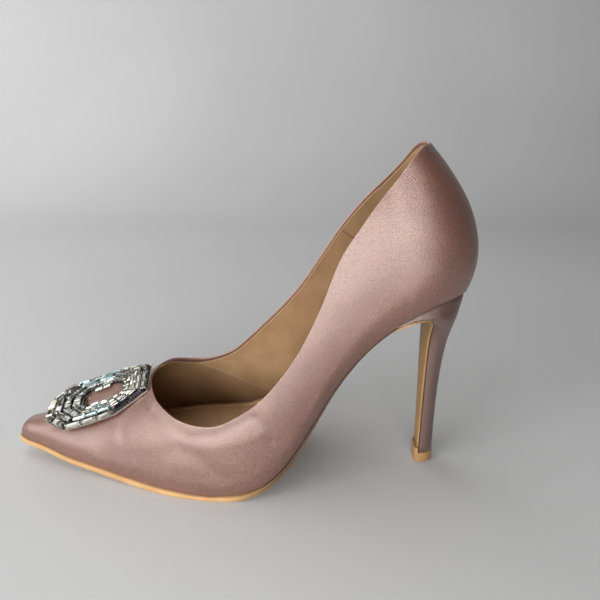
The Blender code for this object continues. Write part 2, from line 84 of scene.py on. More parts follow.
TOPLINE = table("station lateral medial", (
    (69, 44.8, 47), (73, 42.6, 45.3), (80, 39.8, 41.5), (88, 37.3, 39.6),
    (98, 36.3, 41), (109, 37.8, 46.9), (118, 42.4, 56.2), (127, 48.8, 66.1),
    (136, 58.3, 75.8), (145, 71.4, 87.2), (154, 90.2, 101.2), (162, 111, 113.7),
    (170, 124.1, 124.3), (181, 139.6, 136.4),
))
BACK = table("height reach", (
    (85, 218.2), (93, 221), (99, 223), (106, 224.3), (114, 224), (124, 221.7),
    (134, 217.3), (144, 210.9), (157, 200), (165, 193.2),
))
NOSE = 7.0
THROAT, THROAT_LENGTH, THROAT_HALF = 70.3, 10.0, 24.5
HEEL_STATION, BACK_STATION = 193.0, 223.0
COLLAR_LEAN, COLLAR_CURVE, COLLAR_HEIGHT = 12.0, 1.5, 157.3
COLLAR_BULGE = {"lateral": 2.4, "medial": 1.6}
LOW_SHARE = 0.22
TIP_INSET, TIP_LENGTH = 1.2, 25.0
CROWN_INSET, COLLAR_INSET = 1.1, 0.7

# %% Read a table smoothly
def read(source, column, at):
    """Smooth value of a column, from a cubic through its rows."""
    knots, values = next(iter(source.values())), source[column]
    step = np.diff(knots)
    slope = np.diff(values) / step
    tangent = np.empty_like(values)
    tangent[1:-1] = (slope[:-1] * step[1:] + slope[1:] * step[:-1]) / (step[1:] + step[:-1])
    tangent[0] = 2 * slope[0] - tangent[1]
    tangent[-1] = 2 * slope[-1] - tangent[-2]
    at = np.clip(np.asarray(at, float), knots[0], knots[-1])
    row = np.clip(np.searchsorted(knots, at, side="right") - 1, 0, len(step) - 1)
    share = (at - knots[row]) / step[row]
    rest = 1 - share
    near = values[row] * (1 + 2 * share) * rest**2
    far = values[row + 1] * share**2 * (3 - 2 * share)
    bend = step[row] * share * rest * (tangent[row] * rest - tangent[row + 1] * share)
    return near + far + bend


def one(source, column, at):
    """The same for one place, as a plain number."""
    return float(read(source, column, at))


def nose(station):
    """Roundness of the toe's tip: 0 at the tip, 1 from NOSE on."""
    clipped = np.clip(station, 0, NOSE)
    return np.sqrt(clipped * (2 * NOSE - clipped)) / NOSE


def tip_back(station, inset):
    """How much further back a row starts that is inset from the toe's tip."""
    return inset * TIP_INSET * max(0.0, 1 - station / TIP_LENGTH)


# %% Rows up the two sides
def side_row(station, side, share, inset=0.0, throat=THROAT):
    """Points up one side, share 0 at the feather edge and 1 at the crest or the topline."""
    share = np.asarray(share, float)
    sign = -1 if side == "lateral" else 1
    past = max(0.0, (station - THROAT) / (HEEL_STATION - THROAT))
    upward = np.clip((share - LOW_SHARE) / (1 - LOW_SHARE), 0, 1)
    x = station - COLLAR_LEAN * past**2 * upward**COLLAR_CURVE + tip_back(station, inset)
    roundness = nose(station)
    ridge = read(LAST, "ridge", x)
    half = (read(LAST, side, x) - sign * ridge - inset) * roundness
    floor = read(LAST, "floor", x)
    tuck = read(LAST, "tuck", x) * roundness
    belly = read(LAST, "belly", x) * roundness
    crown = (read(LAST, "crown", x) - inset * CROWN_INSET) * roundness
    power = read(LAST, "outer" if side == "lateral" else "inner", x)
    turn = np.full_like(x, math.pi / 2)
    if station > throat:
        topline = read(TOPLINE, side, x)
        whole_crown = read(LAST, "crown", x) * roundness
        lift = np.clip((topline - floor - belly) / (whole_crown - belly), 1e-6, 1)
        turn = np.arcsin(lift ** (power / 2))
        away = (station - throat) / THROAT_LENGTH
        if away < 1:
            opened = THROAT_HALF * math.sqrt(away) / half
            keep = away**2 * (3 - 2 * away)
            turn = turn * keep + np.arccos(np.clip(opened, 0, 1) ** (power / 2)) * (1 - keep)
    below = share < LOW_SHARE
    rise = share / LOW_SHARE
    angle = upward * turn
    across = half * np.cos(angle).clip(0) ** (2 / power)
    across = np.where(below, half - tuck * (1 - rise) ** 2, across)
    height = belly + (crown - belly) * np.sin(angle).clip(0) ** (2 / power)
    height = np.where(below, belly * rise, height)
    return np.stack([x, ridge + sign * across, floor + height], -1)


# %% Rows round the back
def last_side_row(side, share, inset):
    """The row at HEEL_STATION, how far up its points are from 0 to 1, and the collar's height."""
    row = side_row(HEEL_STATION, side, share, inset)
    bottom, top = side_row(HEEL_STATION, side, [0.0, 1.0], inset)[:, 2]
    return row, (row[:, 2] - bottom) / (top - bottom), top


def back_row(turn, side, share, inset=0.0):
    """Points up the round back, turn 0 at HEEL_STATION and 1 at the back seam."""
    base, part, top = last_side_row(side, share, inset)
    other_part = last_side_row("medial" if side == "lateral" else "lateral", share, inset)[1]
    backward = math.sin(turn * math.pi / 2)
    part = part + (other_part - part) * backward / 2
    across = math.cos(turn * math.pi / 2)
    station = HEEL_STATION + (BACK_STATION - HEEL_STATION) * backward
    floor = read(LAST, "floor", station)
    bulge = 1 - (1 - backward) ** COLLAR_BULGE[side]
    collar = top + (COLLAR_HEIGHT - inset * COLLAR_INSET - top) * bulge
    height = floor + (collar - floor) * part
    reach = read(BACK, "reach", height) - inset
    x = base[:, 0] + (reach - base[:, 0]) * backward
    return np.stack([x, base[:, 1] * across, height], -1)


# %% [markdown]
# ## Where the brooch sits
# The brooch has its own directions: u along the foot, v across and w out of its face. They are
# needed before the satin is made, because the vamp is drawn up against the brooch's plate and
# bulges a little into its window.

# %% The brooch's own frame
BROOCH_CENTRE = np.array([43.9, -3.6, 34.1])
BROOCH_RISE, BROOCH_YAW, BROOCH_BANK = (math.radians(angle) for angle in (21.8, -2.2, 21.7))
BEND, BEND_LENGTH = 1.4, 20.0
HALF_LENGTH, HALF_WIDTH, END_HALF, SIDE_HALF = 29.3, 14.6, 7.3, 14.4
TAPER, SKEW = 1.3, -3.8
WINDOW_SHARE, WINDOW_SHIFT = 0.38, 2.5
PLATE_LOW, PLATE_THICK = -3.0, 1.0
level_part = math.cos(BROOCH_RISE)
brooch_along = np.array(
    [level_part * math.cos(BROOCH_YAW), level_part * math.sin(BROOCH_YAW), math.sin(BROOCH_RISE)]
)
brooch_level = np.array([-math.sin(BROOCH_YAW), math.cos(BROOCH_YAW), 0.0])
brooch_up = np.cross(brooch_along, brooch_level)
brooch_across = brooch_level * math.cos(BROOCH_BANK) + brooch_up * math.sin(BROOCH_BANK)
brooch_out = np.cross(brooch_along, brooch_across)


def brooch_point(u, v, w):
    """A place in the brooch's own directions, as a place on the shoe."""
    bend = BEND * (u / BEND_LENGTH) ** 2
    return BROOCH_CENTRE + brooch_along * u + brooch_across * v + brooch_out * (w + bend)


def octagon(share):
    """The brooch's outline at 1 and its window's outline at WINDOW_SHARE."""
    shift = WINDOW_SHIFT * (1 - share) / (1 - WINDOW_SHARE)
    sizes = (HALF_LENGTH, HALF_WIDTH, END_HALF + TAPER, END_HALF - TAPER)
    a, b, wide, slim = (size * share for size in sizes)
    far, near = (SKEW + SIDE_HALF) * share, (SKEW - SIDE_HALF) * share
    corners = [(a, -wide), (a, wide), (far, b), (near, b)]
    corners += [(-a, slim), (-a, -slim), (near, -b), (far, -b)]
    return [(u + shift, v) for u, v in corners]


# %% [markdown]
# ## Creases
# Satin over a lining never lies quite flat. The soft troughs and ridges here are listed one by one:
# each is a short line on the shoe with a width and a depth. A slow noise adds the faint unevenness
# of cloth pulled over a form by hand. Both move the skin along its own normal, so the light shows
# them from every side, which a bump texture does only weakly.

# %% Troughs and ridges: depth, width, then points along the line
CREASES = (
    (-0.34, 2.6, (77, -23.5, 37), (86, -30.5, 34), (96, -35.5, 31.2), (109, -37.3, 34),
     (123.6, -36.5, 42)),
    (0.22, 3.4, (88, -33, 28), (100, -37, 27), (114, -38.8, 29.5), (128, -37.8, 34)),
    (-0.42, 2.1, (60, -20, 27.6), (60.3, -22, 25.8), (60.7, -24, 23.2)),
    (0.25, 2.2, (56.5, -19.5, 25), (57.3, -21.7, 22.5)),
    (-0.40, 1.3, (69.5, -11.8, 39.8), (72, -16.1, 38.8), (74, -20, 37.4)),
    (0.22, 1.6, (73, -14.5, 40.2), (76.5, -19, 39.4)),
    (-0.30, 4.5, (48, -22.7, 14.5), (66, -28.8, 16.5), (81, -33.9, 20.7), (91, -36.5, 22.7)),
    (-0.34, 4.2, (91, -34.9, 27), (99, -38, 23.2), (106, -39.9, 17.6), (113, -40.3, 14)),
    (0.30, 3.6, (46, -22.3, 9.5), (65, -29.4, 10), (81, -34.9, 9.6), (96, -38.6, 8.4),
     (112, -40, 8)),
    (-0.30, 2.6, (127, -36.7, 41.6), (131.5, -37, 37), (133, -37.3, 31)),
    (0.20, 2.2, (124, -36.9, 39.6), (127, -37.5, 35)),
    (-0.25, 3.4, (191.1, -20, 144.5), (191.1, -21.8, 140.2), (190.7, -23.4, 135.6)),
    (-0.20, 3, (34.8, -14.9, 18), (43.1, -18.7, 17.8), (52.2, -22.1, 18.6)),
    (-0.30, 2.2, (62, 19, 31), (66, 22, 30), (70, 26.5, 27.5)),
    (0.22, 3, (70, 27, 31), (84, 33, 26), (98, 34, 24)),
    (-0.28, 3.6, (78, 31, 25), (92, 35, 19), (106, 33.6, 15)),
    (-0.26, 2.6, (118, 29, 42), (124, 28.4, 36), (127, 29, 30)),
    (0.20, 3.2, (135, 27.5, 48), (142, 27.5, 44), (150, 27.3, 47)),
    (-0.22, 3, (205, 19, 133), (210, 19, 124), (211, 20, 114)),
)
UNEVEN, UNEVEN_LENGTH = 0.13, 15.0


# %% Move the skin along its normal
def smooth_step(value, low, high):
    """0 at low and 1 at high, with soft ends."""
    share = np.clip((np.asarray(value, float) - low) / (high - low), 0, 1)
    return share * share * (3 - 2 * share)


def distance_to_line(points, line):
    """Shortest distance from each point to a line of several corners."""
    nearest = np.full(len(points), np.inf)
    for start, end in zip(line[:-1], line[1:]):
        start, end = np.array(start, float), np.array(end, float)
        run = end - start
        share = np.clip((points - start) @ run / (run @ run), 0, 1)
        nearest = np.minimum(nearest, np.linalg.norm(points - start - share[:, None] * run, axis=1))
    return nearest


def pushed(points):
    """How far each point of the satin stands out, in millimetres."""
    points = np.asarray(points, float)
    slow = [noise.noise(Vector(point / UNEVEN_LENGTH), noise_basis="BLENDER") for point in points]
    amount = UNEVEN * np.array(slow)
    for depth, width, *line in CREASES:
        amount += depth * np.exp(-((distance_to_line(points, line) / width) ** 2))
    return amount


# %% Draw the vamp up against the brooch
DRAW_LIMIT, DRAW_REACH = 6.0, -14.0
CLEAR_OF_PLATE = 0.3
WINDOW_BULGE, WINDOW_HALF, WINDOW_FADE = 2.2, (11.4, 6.0), (1.0, 0.72)
END_FADE, THROAT_FADE, NEAR_FADE = (1.25, 0.8), (24.0, 13.0), (-9.0, -1.0)
FAR_HALF, FAR_TAPER, FAR_LEAST, FAR_FADE = 14.0, 0.22, 7.0, (1.0, 0.35)
FACING_LEAST, FACING_LIMIT = 0.3, 0.5


def drawn_up(places, normals, inset):
    """How far the vamp is drawn up against the brooch, in millimetres."""
    offset = places - BROOCH_CENTRE
    u, v, w = offset @ brooch_along, offset @ brooch_across, offset @ brooch_out
    w = w - BEND * (u / BEND_LENGTH) ** 2
    far = np.clip(FAR_HALF + FAR_TAPER * u, FAR_LEAST, FAR_HALF)
    inner = np.maximum(np.abs(u - WINDOW_SHIFT) / WINDOW_HALF[0], np.abs(v) / WINDOW_HALF[1])
    under = smooth_step(np.abs(u) / HALF_LENGTH, *END_FADE) * smooth_step(v, *NEAR_FADE)
    under = under * smooth_step(u, *THROAT_FADE) * smooth_step(v / far, *FAR_FADE)
    target = PLATE_LOW - CLEAR_OF_PLATE + WINDOW_BULGE * smooth_step(inner, *WINDOW_FADE)
    facing = normals @ brooch_out
    lift = np.clip(target - inset - w, 0, DRAW_LIMIT) / np.clip(facing, FACING_LIMIT, 1)
    return lift * under * (facing > FACING_LEAST) * (w > DRAW_REACH)


print("creases:", len(CREASES))

# %% [markdown]
# ## Skins
# The satin and the lining are two skins of the same form, a little apart. Each is first one open
# sheet: both sides meet in the crest before the throat and in the seam at the back. A Solidify
# modifier then gives it the material's thickness, and a Bevel rounds the edge at the topline,
# because the real satin is folded over there.

# %% Build an open skin over the last
TOE_ROWS, SIDE_ROWS, BACK_ROWS, COLUMNS = 64, 150, 34, 52
TIP_CROWDING, THROAT_CROWDING, THROAT_CURVE = 0.8, 0.78, 1.6
BACK_LENGTH = 70.0
SKIN_WELD, WELD, SLIVER = 4e-6, 2e-6, 1e-7


def skin_stations(throat):
    """Stations of the rows, closest together at the tip and at the throat."""
    toe, side = np.linspace(0, 1, TOE_ROWS + 1), np.linspace(0, 1, SIDE_ROWS + 1)[1:]
    toe = (1 - TIP_CROWDING) * toe + TIP_CROWDING * toe**2
    side = (1 - THROAT_CROWDING) * side + THROAT_CROWDING * side**THROAT_CURVE
    return [*(throat * toe), *(throat + (HEEL_STATION - throat) * side)]


def skin(inset=0.0, throat=THROAT, lowered=None):
    """A bmesh of the form in metres, inset from the outside, its rim lowered by lowered(station)."""
    sheet = bmesh.new()
    rim = sheet.verts.layers.float.new("rim")
    share = np.linspace(0, 1, COLUMNS + 1)
    for side in ("lateral", "medial"):
        rows = []
        for station in skin_stations(throat):
            row = side_row(station, side, share, inset, throat)
            if lowered and station > throat:
                length = np.linalg.norm(np.diff(row, axis=0), axis=1).sum()
                row = side_row(station, side, share * (1 - lowered(station) / length), inset, throat)
            rows.append(row)
        back_drop = lowered(HEEL_STATION) / BACK_LENGTH if lowered else 0.0
        for turn in np.linspace(0, 1, BACK_ROWS + 1)[1:]:
            rows.append(back_row(turn, side, share * (1 - back_drop), inset))
        corners = [[sheet.verts.new((point - CENTRE) * MM) for point in row] for row in rows]
        for line in corners[TOE_ROWS + 1 :]:
            line[-1][rim] = 1.0
        for near, far in zip(corners[:-1], corners[1:]):
            for column in range(COLUMNS):
                quad = [near[column], far[column], far[column + 1], near[column + 1]]
                sheet.faces.new(quad if side == "lateral" else quad[::-1])
    bmesh.ops.remove_doubles(sheet, verts=sheet.verts, dist=SKIN_WELD)
    bmesh.ops.dissolve_degenerate(sheet, dist=SLIVER, edges=sheet.edges)
    sheet.normal_update()
    places = np.array([vertex.co[:] for vertex in sheet.verts]) / MM + CENTRE
    normals = np.array([vertex.normal[:] for vertex in sheet.verts])
    for vertex, amount in zip(sheet.verts, pushed(places) + drawn_up(places, normals, inset)):
        vertex.co += vertex.normal * float(amount) * MM
    sheet.normal_update()
    return sheet


# %% Put an object in the scene
def placed(name, data):
    """A new object at the origin."""
    made = bpy.data.objects.new(name, data)
    bpy.context.scene.collection.objects.link(made)
    return made


# %% Turn a bmesh into a piece
def piece_from(sheet, name, look):
    """A new smooth object from a bmesh, with its material."""
    data = bpy.data.meshes.new(name)
    sheet.to_mesh(data)
    sheet.free()
    data.shade_smooth()
    data.materials.append(look)
    return placed(name, data)


# %% Finish a piece
def settle(made):
    """Applies all modifiers and leaves a plain mesh."""
    graph = bpy.context.evaluated_depsgraph_get()
    data = bpy.data.meshes.new_from_object(made.evaluated_get(graph))
    data.name = made.name
    made.modifiers.clear()
    made.data = data


def note_on(made, name, rule):
    """Writes one number on every point of a piece, from its x and z in millimetres."""
    layer = made.data.attributes.new(name, "FLOAT", "POINT")
    places = [np.array(vertex.co[:]) / MM + CENTRE for vertex in made.data.vertices]
    layer.data.foreach_set("value", np.array([rule(x, z) for x, _, z in places], np.float32))


ROUND_STEPS, ROUND_ANGLE = 3, math.radians(55)


def thicken(made, thickness, rounding):
    """Gives a skin its thickness inwards and rounds its edges."""
    wall = made.modifiers.new("wall", "SOLIDIFY")
    wall.thickness = thickness * MM
    wall.offset = -1
    wall.use_even_offset = True
    wall.use_quality_normals = True
    bevel = made.modifiers.new("edge", "BEVEL")
    bevel.width = rounding * MM
    bevel.segments = ROUND_STEPS
    bevel.limit_method = "ANGLE"
    bevel.angle_limit = ROUND_ANGLE
    bevel.use_clamp_overlap = True
    settle(made)


# %% Close a piece through loops
def loft(name, loops, look):
    """A closed piece through loops of equally many points in millimetres, both ends filled."""
    body = bmesh.new()
    loops = [[body.verts.new((np.array(spot, float) - CENTRE) * MM) for spot in loop] for loop in loops]
    for near, far in zip(loops[:-1], loops[1:]):
        for index in range(len(near)):
            after = (index + 1) % len(near)
            body.faces.new([near[index], near[after], far[after], far[index]])
    body.faces.new(loops[0][::-1])
    body.faces.new(loops[-1])
    bmesh.ops.remove_doubles(body, verts=body.verts, dist=WELD)
    bmesh.ops.dissolve_degenerate(body, dist=SLIVER, edges=body.edges)
    bmesh.ops.recalc_face_normals(body, faces=body.faces)
    return piece_from(body, name, look)


# %% [markdown]
# ## Finishes
# Every finish is made of nodes on object coordinates or on numbers written on the mesh, so it stays
# with the shoe and is the same from all sides. A small builder keeps the node code short: it adds a
# node, sets what is given by name and links what is given as a socket.

# %% A short way to add nodes
def start_look(name, colour, roughness, **more):
    """A Principled material and a function that adds nodes to it."""
    look = bpy.data.materials.new(name)
    look.use_nodes = True
    tree = look.node_tree
    shader = tree.nodes["Principled BSDF"]
    shader.inputs["Base Color"].default_value = (*colour, 1)
    shader.inputs["Roughness"].default_value = roughness
    for key, value in more.items():
        socket = shader.inputs[key.replace("_", " ")]
        socket.default_value = (*value, 1) if isinstance(value, tuple) else value

    def add(kind, out=0, settings=None, **inputs):
        made = tree.nodes.new("ShaderNode" + kind)
        for key, value in (settings or {}).items():
            setattr(made, key, value)
        for key, value in inputs.items():
            socket = made.inputs[int(key[1:]) if key[1:].isdigit() else key.replace("_", " ")]
            if isinstance(value, bpy.types.NodeSocket):
                tree.links.new(value, socket)
            elif isinstance(value, tuple) and socket.type == "RGBA":
                socket.default_value = (*value, 1)
            else:
                socket.default_value = value
        return made.outputs[out]

    def link(socket, name):
        tree.links.new(socket, shader.inputs[name])

    return look, add, link


# %% Colour and noise helpers
def ramp(add, value, *stops):
    """A colour ramp: stops are (place, colour)."""
    made = add("ValToRGB", Fac=value)
    steps = made.node.color_ramp.elements
    while len(steps) < len(stops):
        steps.new(0.5)
    for step, (place, colour) in zip(steps, stops):
        step.position = place
        step.color = (*colour, 1)
    return made


def shades(add, value, deep, pale):
    """The deep shade of a colour where value is low and its pale shade where value is high."""
    return ramp(add, value, (0.35, deep), (0.7, pale))


def spots(add, scale, detail=2.0, stretch=(1, 1, 1)):
    """Noise on object coordinates, scale in 1/m."""
    here = add("TexCoord", out=3)
    if stretch != (1, 1, 1):
        here = add("Mapping", Vector=here, Scale=stretch)
    return add("TexNoise", Vector=here, Scale=scale, Detail=detail)


def noted(add, name):
    """A number that is written on the piece's points."""
    return add("Attribute", out=2, settings={"attribute_name": name})


def between(add, value, low, high, start=0.0, end=1.0):
    """Start below low, end above high and even steps between."""
    return add("MapRange", Value=value, _1=low, _2=high, _3=start, _4=end)


def reckon(add, operation, *values):
    """A Math node."""
    inputs = {"_" + str(index): value for index, value in enumerate(values)}
    return add("Math", settings={"operation": operation}, **inputs)


def mixed(add, share, first, second):
    """One colour turning into the other."""
    return add("Mix", out=2, settings={"data_type": "RGBA"}, _0=share, _6=first, _7=second)


# %% [markdown]
# ### Satin
# Satin is woven so that long smooth threads lie on top. It has a soft wide gloss, a pale sheen at
# grazing angles, and close by a fine glitter of single threads. Three noises make that: a fine one
# for the threads, a slower one for the cloudy look, and a very fine one that also bumps the light.
# At the topline the satin is folded over, and a paler line is painted along the fold as a painted
# highlight.

# %% Make the satin
# Paler pink painted along the folded topline: a painted highlight.
FOLD_HIGHLIGHT = (0.27, 0.14, 0.105)


def satin_look(name, deep, pale, gloss=0.40):
    """Satin between two shades, with a painted highlight where it is folded over the topline."""
    look, add, link = start_look(
        name, pale, gloss, Sheen_Weight=0.10, Sheen_Roughness=0.4, Sheen_Tint=(1.0, 0.90, 0.86),
        IOR=2.2, Specular_IOR_Level=0.48, Specular_Tint=(1.0, 0.85, 0.78),
    )
    threads = spots(add, 2700)
    slow = spots(add, 60, 1.0)
    weave = spots(add, 4200, 1.0, (1.0, 1.0, 0.35))
    cloud = reckon(add, "ADD", threads, reckon(add, "MULTIPLY_ADD", slow, 0.10, -0.05))
    # Where the folded rim gets its painted highlight.
    fold_highlight = between(add, noted(add, "rim"), 0.6, 0.85)
    link(mixed(add, fold_highlight, ramp(add, cloud, (0.38, deep), (0.62, pale)), FOLD_HIGHLIGHT), "Base Color")
    link(between(add, threads, 0.35, 0.65, gloss - 0.06, gloss + 0.09), "Roughness")
    height = reckon(add, "ADD", threads, weave)
    link(add("Bump", Strength=0.55, Distance=0.0002, Height=height), "Normal")
    return look


satin = satin_look("dusty pink satin", (0.070, 0.028, 0.020), (0.195, 0.088, 0.063))
# The heel's satin is the same cloth as the upper's, painted darker: painted shade.
heel_satin_painted_shade = satin_look("heel satin", (0.055, 0.025, 0.019), (0.09, 0.043, 0.033), 0.5)

# %% [markdown]
# ### Lining, sole and tip
# The lining is smooth man-made leather with a very fine grain, in a darker piece at the front. The
# sole is tan board: it is darker in the waist as painted shade, its edge there is dark with edge paint
# and painted shade, its flap on the heel is browner, and it has three small scuffs. The tip under the
# heel is plain moulded plastic.

# %% Grained leather and plastic
def grain(add, strength):
    """A very fine leather grain, as a bump."""
    cells = add("TexVoronoi", Vector=add("TexCoord", out=3), Scale=1900)
    return add("Bump", Strength=strength, Distance=0.0001, Height=cells)


def leather_look(name, deep, pale, roughness, strength=0.1):
    """Plain grained stuff in slow clouds of two shades."""
    look, add, link = start_look(name, pale, roughness, Specular_IOR_Level=0.35)
    slow = spots(add, 90, 3.0)
    link(shades(add, slow, deep, pale), "Base Color")
    link(grain(add, strength), "Normal")
    link(between(add, slow, 0.3, 0.7, roughness - 0.06, roughness + 0.08), "Roughness")
    return look


# %% The lining's look
def lining_look():
    """The lining: a darker vamp part in front of the slant, and a cut edge."""
    look, add, link = start_look("tan lining leather", (0.33, 0.205, 0.11), 0.46, Specular_IOR_Level=0.35)
    slow = spots(add, 90, 3.0)
    quarter = shades(add, slow, (0.28, 0.172, 0.088), (0.35, 0.22, 0.118))
    vamp = shades(add, slow, (0.25, 0.152, 0.077), (0.31, 0.19, 0.10))
    overlap = between(add, noted(add, "front"), -0.2, 0.25)
    cut = between(add, noted(add, "rim"), 0.35, 0.6)
    colour = mixed(add, overlap, quarter, vamp)
    link(mixed(add, cut, colour, (0.33, 0.22, 0.12)), "Base Color")
    step = add("Bump", Strength=0.8, Distance=0.0004, Height=overlap, Normal=grain(add, 0.12))
    link(step, "Normal")
    return look


# %% The sole's look
SCUFFS = (((105.3, -41.6, 2.0), 0.3), ((107.0, -41.8, 1.1), 0.34), ((58.0, -28.0, 3.0), 0.25))
SCUFF_EDGE, SCUFF_RAGGED = 0.25, 0.6


def sole_look():
    """The sole: tan, painted shade in the waist, a darker flap, a waist edge of paint and painted shade,
    scuffs.
    """
    look, add, link = start_look("tan sole", (0.60, 0.36, 0.17), 0.42, Specular_IOR_Level=0.22)
    slow = spots(add, 90, 3.0)
    tan = shades(add, slow, (0.43, 0.245, 0.105), (0.53, 0.32, 0.15))
    # The waist's darker tan is painted shade.
    shaded = shades(add, slow, (0.30, 0.175, 0.07), (0.38, 0.23, 0.10))
    flap = shades(add, slow, (0.27, 0.155, 0.055), (0.34, 0.20, 0.08))
    waist = noted(add, "waist")
    colour = mixed(add, noted(add, "flap"), mixed(add, waist, tan, shaded), flap)
    # The dark upper edge in the waist is partly edge paint and partly painted shade under the satin.
    painted = reckon(add, "MULTIPLY", between(add, noted(add, "up"), 0.08, 0.3), waist)
    colour = mixed(add, painted, colour, (0.07, 0.04, 0.025))
    here = add("TexCoord", out=3)
    for place, size in SCUFFS:
        spot = tuple((np.array(place) - CENTRE) * MM)
        away = add("VectorMath", out=1, settings={"operation": "DISTANCE"}, _0=here, _1=spot)
        ragged = reckon(add, "MULTIPLY_ADD", spots(add, 2600), SCUFF_RAGGED * MM, away)
        clean = between(add, ragged, size * MM, (size + SCUFF_EDGE) * MM)
        colour = mixed(add, clean, (0.055, 0.02, 0.015), colour)
    link(colour, "Base Color")
    fibres = spots(add, 700, 3.0, (0.3, 0.3, 2.5))
    link(add("Bump", Strength=0.25, Distance=0.00012, Height=fibres), "Normal")
    link(between(add, slow, 0.3, 0.7, 0.42, 0.58), "Roughness")
    return look


# %% Make the lining, the sole, the tip and the threads
lining_leather = lining_look()
sole_tan = sole_look()
footbed_leather = leather_look("footbed leather", (0.46, 0.28, 0.15), (0.56, 0.36, 0.195), 0.40)
tip_plastic = leather_look("tip plastic", (0.27, 0.145, 0.055), (0.35, 0.20, 0.085), 0.36, 0.05)
pale_thread = leather_look("pale thread", (0.80, 0.60, 0.36), (0.90, 0.70, 0.45), 0.5, 0.2)
brown_thread = leather_look("brown thread", (0.17, 0.10, 0.05), (0.23, 0.14, 0.07), 0.5, 0.2)

# %% [markdown]
# ## The satin upper
# The outer skin is 1.0 mm of satin on its backing. It stands for the whole hollow solid of the
# upper, because satin and lining are one stuck layer on the real shoe.

# %% Make the satin upper
SATIN_THICK, SATIN_ROUND = 1.0, 0.42
upper = piece_from(skin(), "upper_satin", satin)
thicken(upper, SATIN_THICK, SATIN_ROUND)
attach(upper, "root")
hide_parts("upper")
print("upper_satin:", len(upper.data.polygons), "faces")

# %% [markdown]
# ## The lining
# The satin is turned in over the topline and the lining is stuck against it a little lower, most at
# the throat. That leaves a band of satin inside and the lining's own cut edge below it. The front
# part is a darker piece: its edge crosses the inside of the wall on a slant. Distances that the
# material needs are written on the mesh's points, so its lines stay sharp whatever the faces do.

# %% Make the lining
LINING_INSET, LINING_THICK, LINING_ROUND = 1.06, 0.72, 0.28
LINING_THROAT = THROAT - 1.6
DROP, THROAT_DROP, DROP_STATION, DROP_LENGTH = 1.3, 1.7, 80.0, 13.0
SLANT_X, SLANT_HEIGHT, SLANT_FALL = 92.3, 34.3, 0.42


def lining_drop(station):
    """How far the lining's edge lies below the fold of the satin."""
    return DROP + THROAT_DROP * math.exp(-(((station - DROP_STATION) / DROP_LENGTH) ** 2))


def before_slant(x, z):
    """Distance in millimetres in front of the slanted edge where the vamp's lining ends."""
    return SLANT_HEIGHT - SLANT_FALL * (x - SLANT_X) - z


lining = piece_from(skin(LINING_INSET, LINING_THROAT, lining_drop), "lining", lining_leather)
thicken(lining, LINING_THICK, LINING_ROUND)
note_on(lining, "front", before_slant)
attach(lining, "root")
print("lining:", len(lining.data.polygons), "faces")

# %% [markdown]
# ## The footbed
# Inside, the foot stands on a covered board. Its rows follow the floor of the last. It is a little
# cupped: it curves up to both walls, most at the arch, where a row of stitches follows its edge.

# %% Rows across the bottom
INSOLE_THICK, INSOLE_INSET = 2.2, 2.15


def feather_row(station, inset):
    """x, height and the two edges of the bottom at a station."""
    x = station + tip_back(station, inset)
    names = ("floor", "ridge", "tuck", "lateral", "medial")
    floor, ridge, tuck, left, right = (one(LAST, name, x) for name in names)
    roundness = float(nose(station))
    lateral = ridge - (left + ridge - tuck - inset) * roundness
    medial = ridge + (right - ridge - tuck - inset) * roundness
    return x, floor, lateral, medial


def feather_back_row(turn, inset):
    """The same round the heel's back, turn 0 at HEEL_STATION and 1 at the seam."""
    backward = math.sin(turn * math.pi / 2)
    lateral, medial = feather_row(HEEL_STATION, inset)[2:]
    station = HEEL_STATION + (BACK_STATION - HEEL_STATION) * backward
    floor = one(LAST, "floor", station)
    reach = one(BACK, "reach", floor) - inset
    across = math.cos(turn * math.pi / 2)
    return HEEL_STATION + (reach - HEEL_STATION) * backward, floor, lateral * across, medial * across


def floor_normal(x):
    """Upward normal of the floor line in side view."""
    rise = one(LAST, "floor", x + 0.5) - one(LAST, "floor", x - 0.5)
    length = math.hypot(1.0, rise)
    return -rise / length, 1.0 / length


# %% A loop with rounded corners
FLAT_STEPS, EDGE_SHARE = 14, 0.3
ROUND_EDGE = ((0.06, 0.55), (0.22, 0.15), (0.5, 0.0), (0.78, 0.15), (0.94, 0.55))


def rounded_loop(low, high, lateral, medial, round_edge):
    """A flat loop between two edges with rounded corners, from (x, z) below to (x, z) above."""
    soft = min(round_edge, EDGE_SHARE * (medial - lateral))

    def across(y, up):
        return low[0] + (high[0] - low[0]) * up, y, low[1] + (high[1] - low[1]) * up

    flat = np.linspace(lateral + soft, medial - soft, FLAT_STEPS + 1)
    loop = [across(y, 0.0) for y in flat]
    loop += [across(medial - soft * away, up) for up, away in ROUND_EDGE]
    loop += [across(y, 1.0) for y in flat[::-1]]
    return loop + [across(lateral + soft * away, up) for up, away in ROUND_EDGE[::-1]]


# %% Make the footbed
CUP = table("station medial lateral", (
    (0, 0.4, 0.4), (40, 1.6, 1), (75, 3.2, 1.6), (92, 5.2, 2), (109, 7.6, 2.4),
    (119, 9.6, 2.6), (124, 10.4, 2.6), (134, 9.6, 2.4), (146, 6.6, 2),
    (160, 4, 1.8), (180, 2.4, 1.6), (224, 1.6, 1.6),
))
CUP_STEPS = 24
MEDIAL_FROM, LATERAL_TO, CUP_POWER = 0.45, 0.3, 1.3
NARROW, EDGE_DROP = 12.0, 0.35
LEVEL_FROM, LEVEL_SHARE = 190.0, 0.4


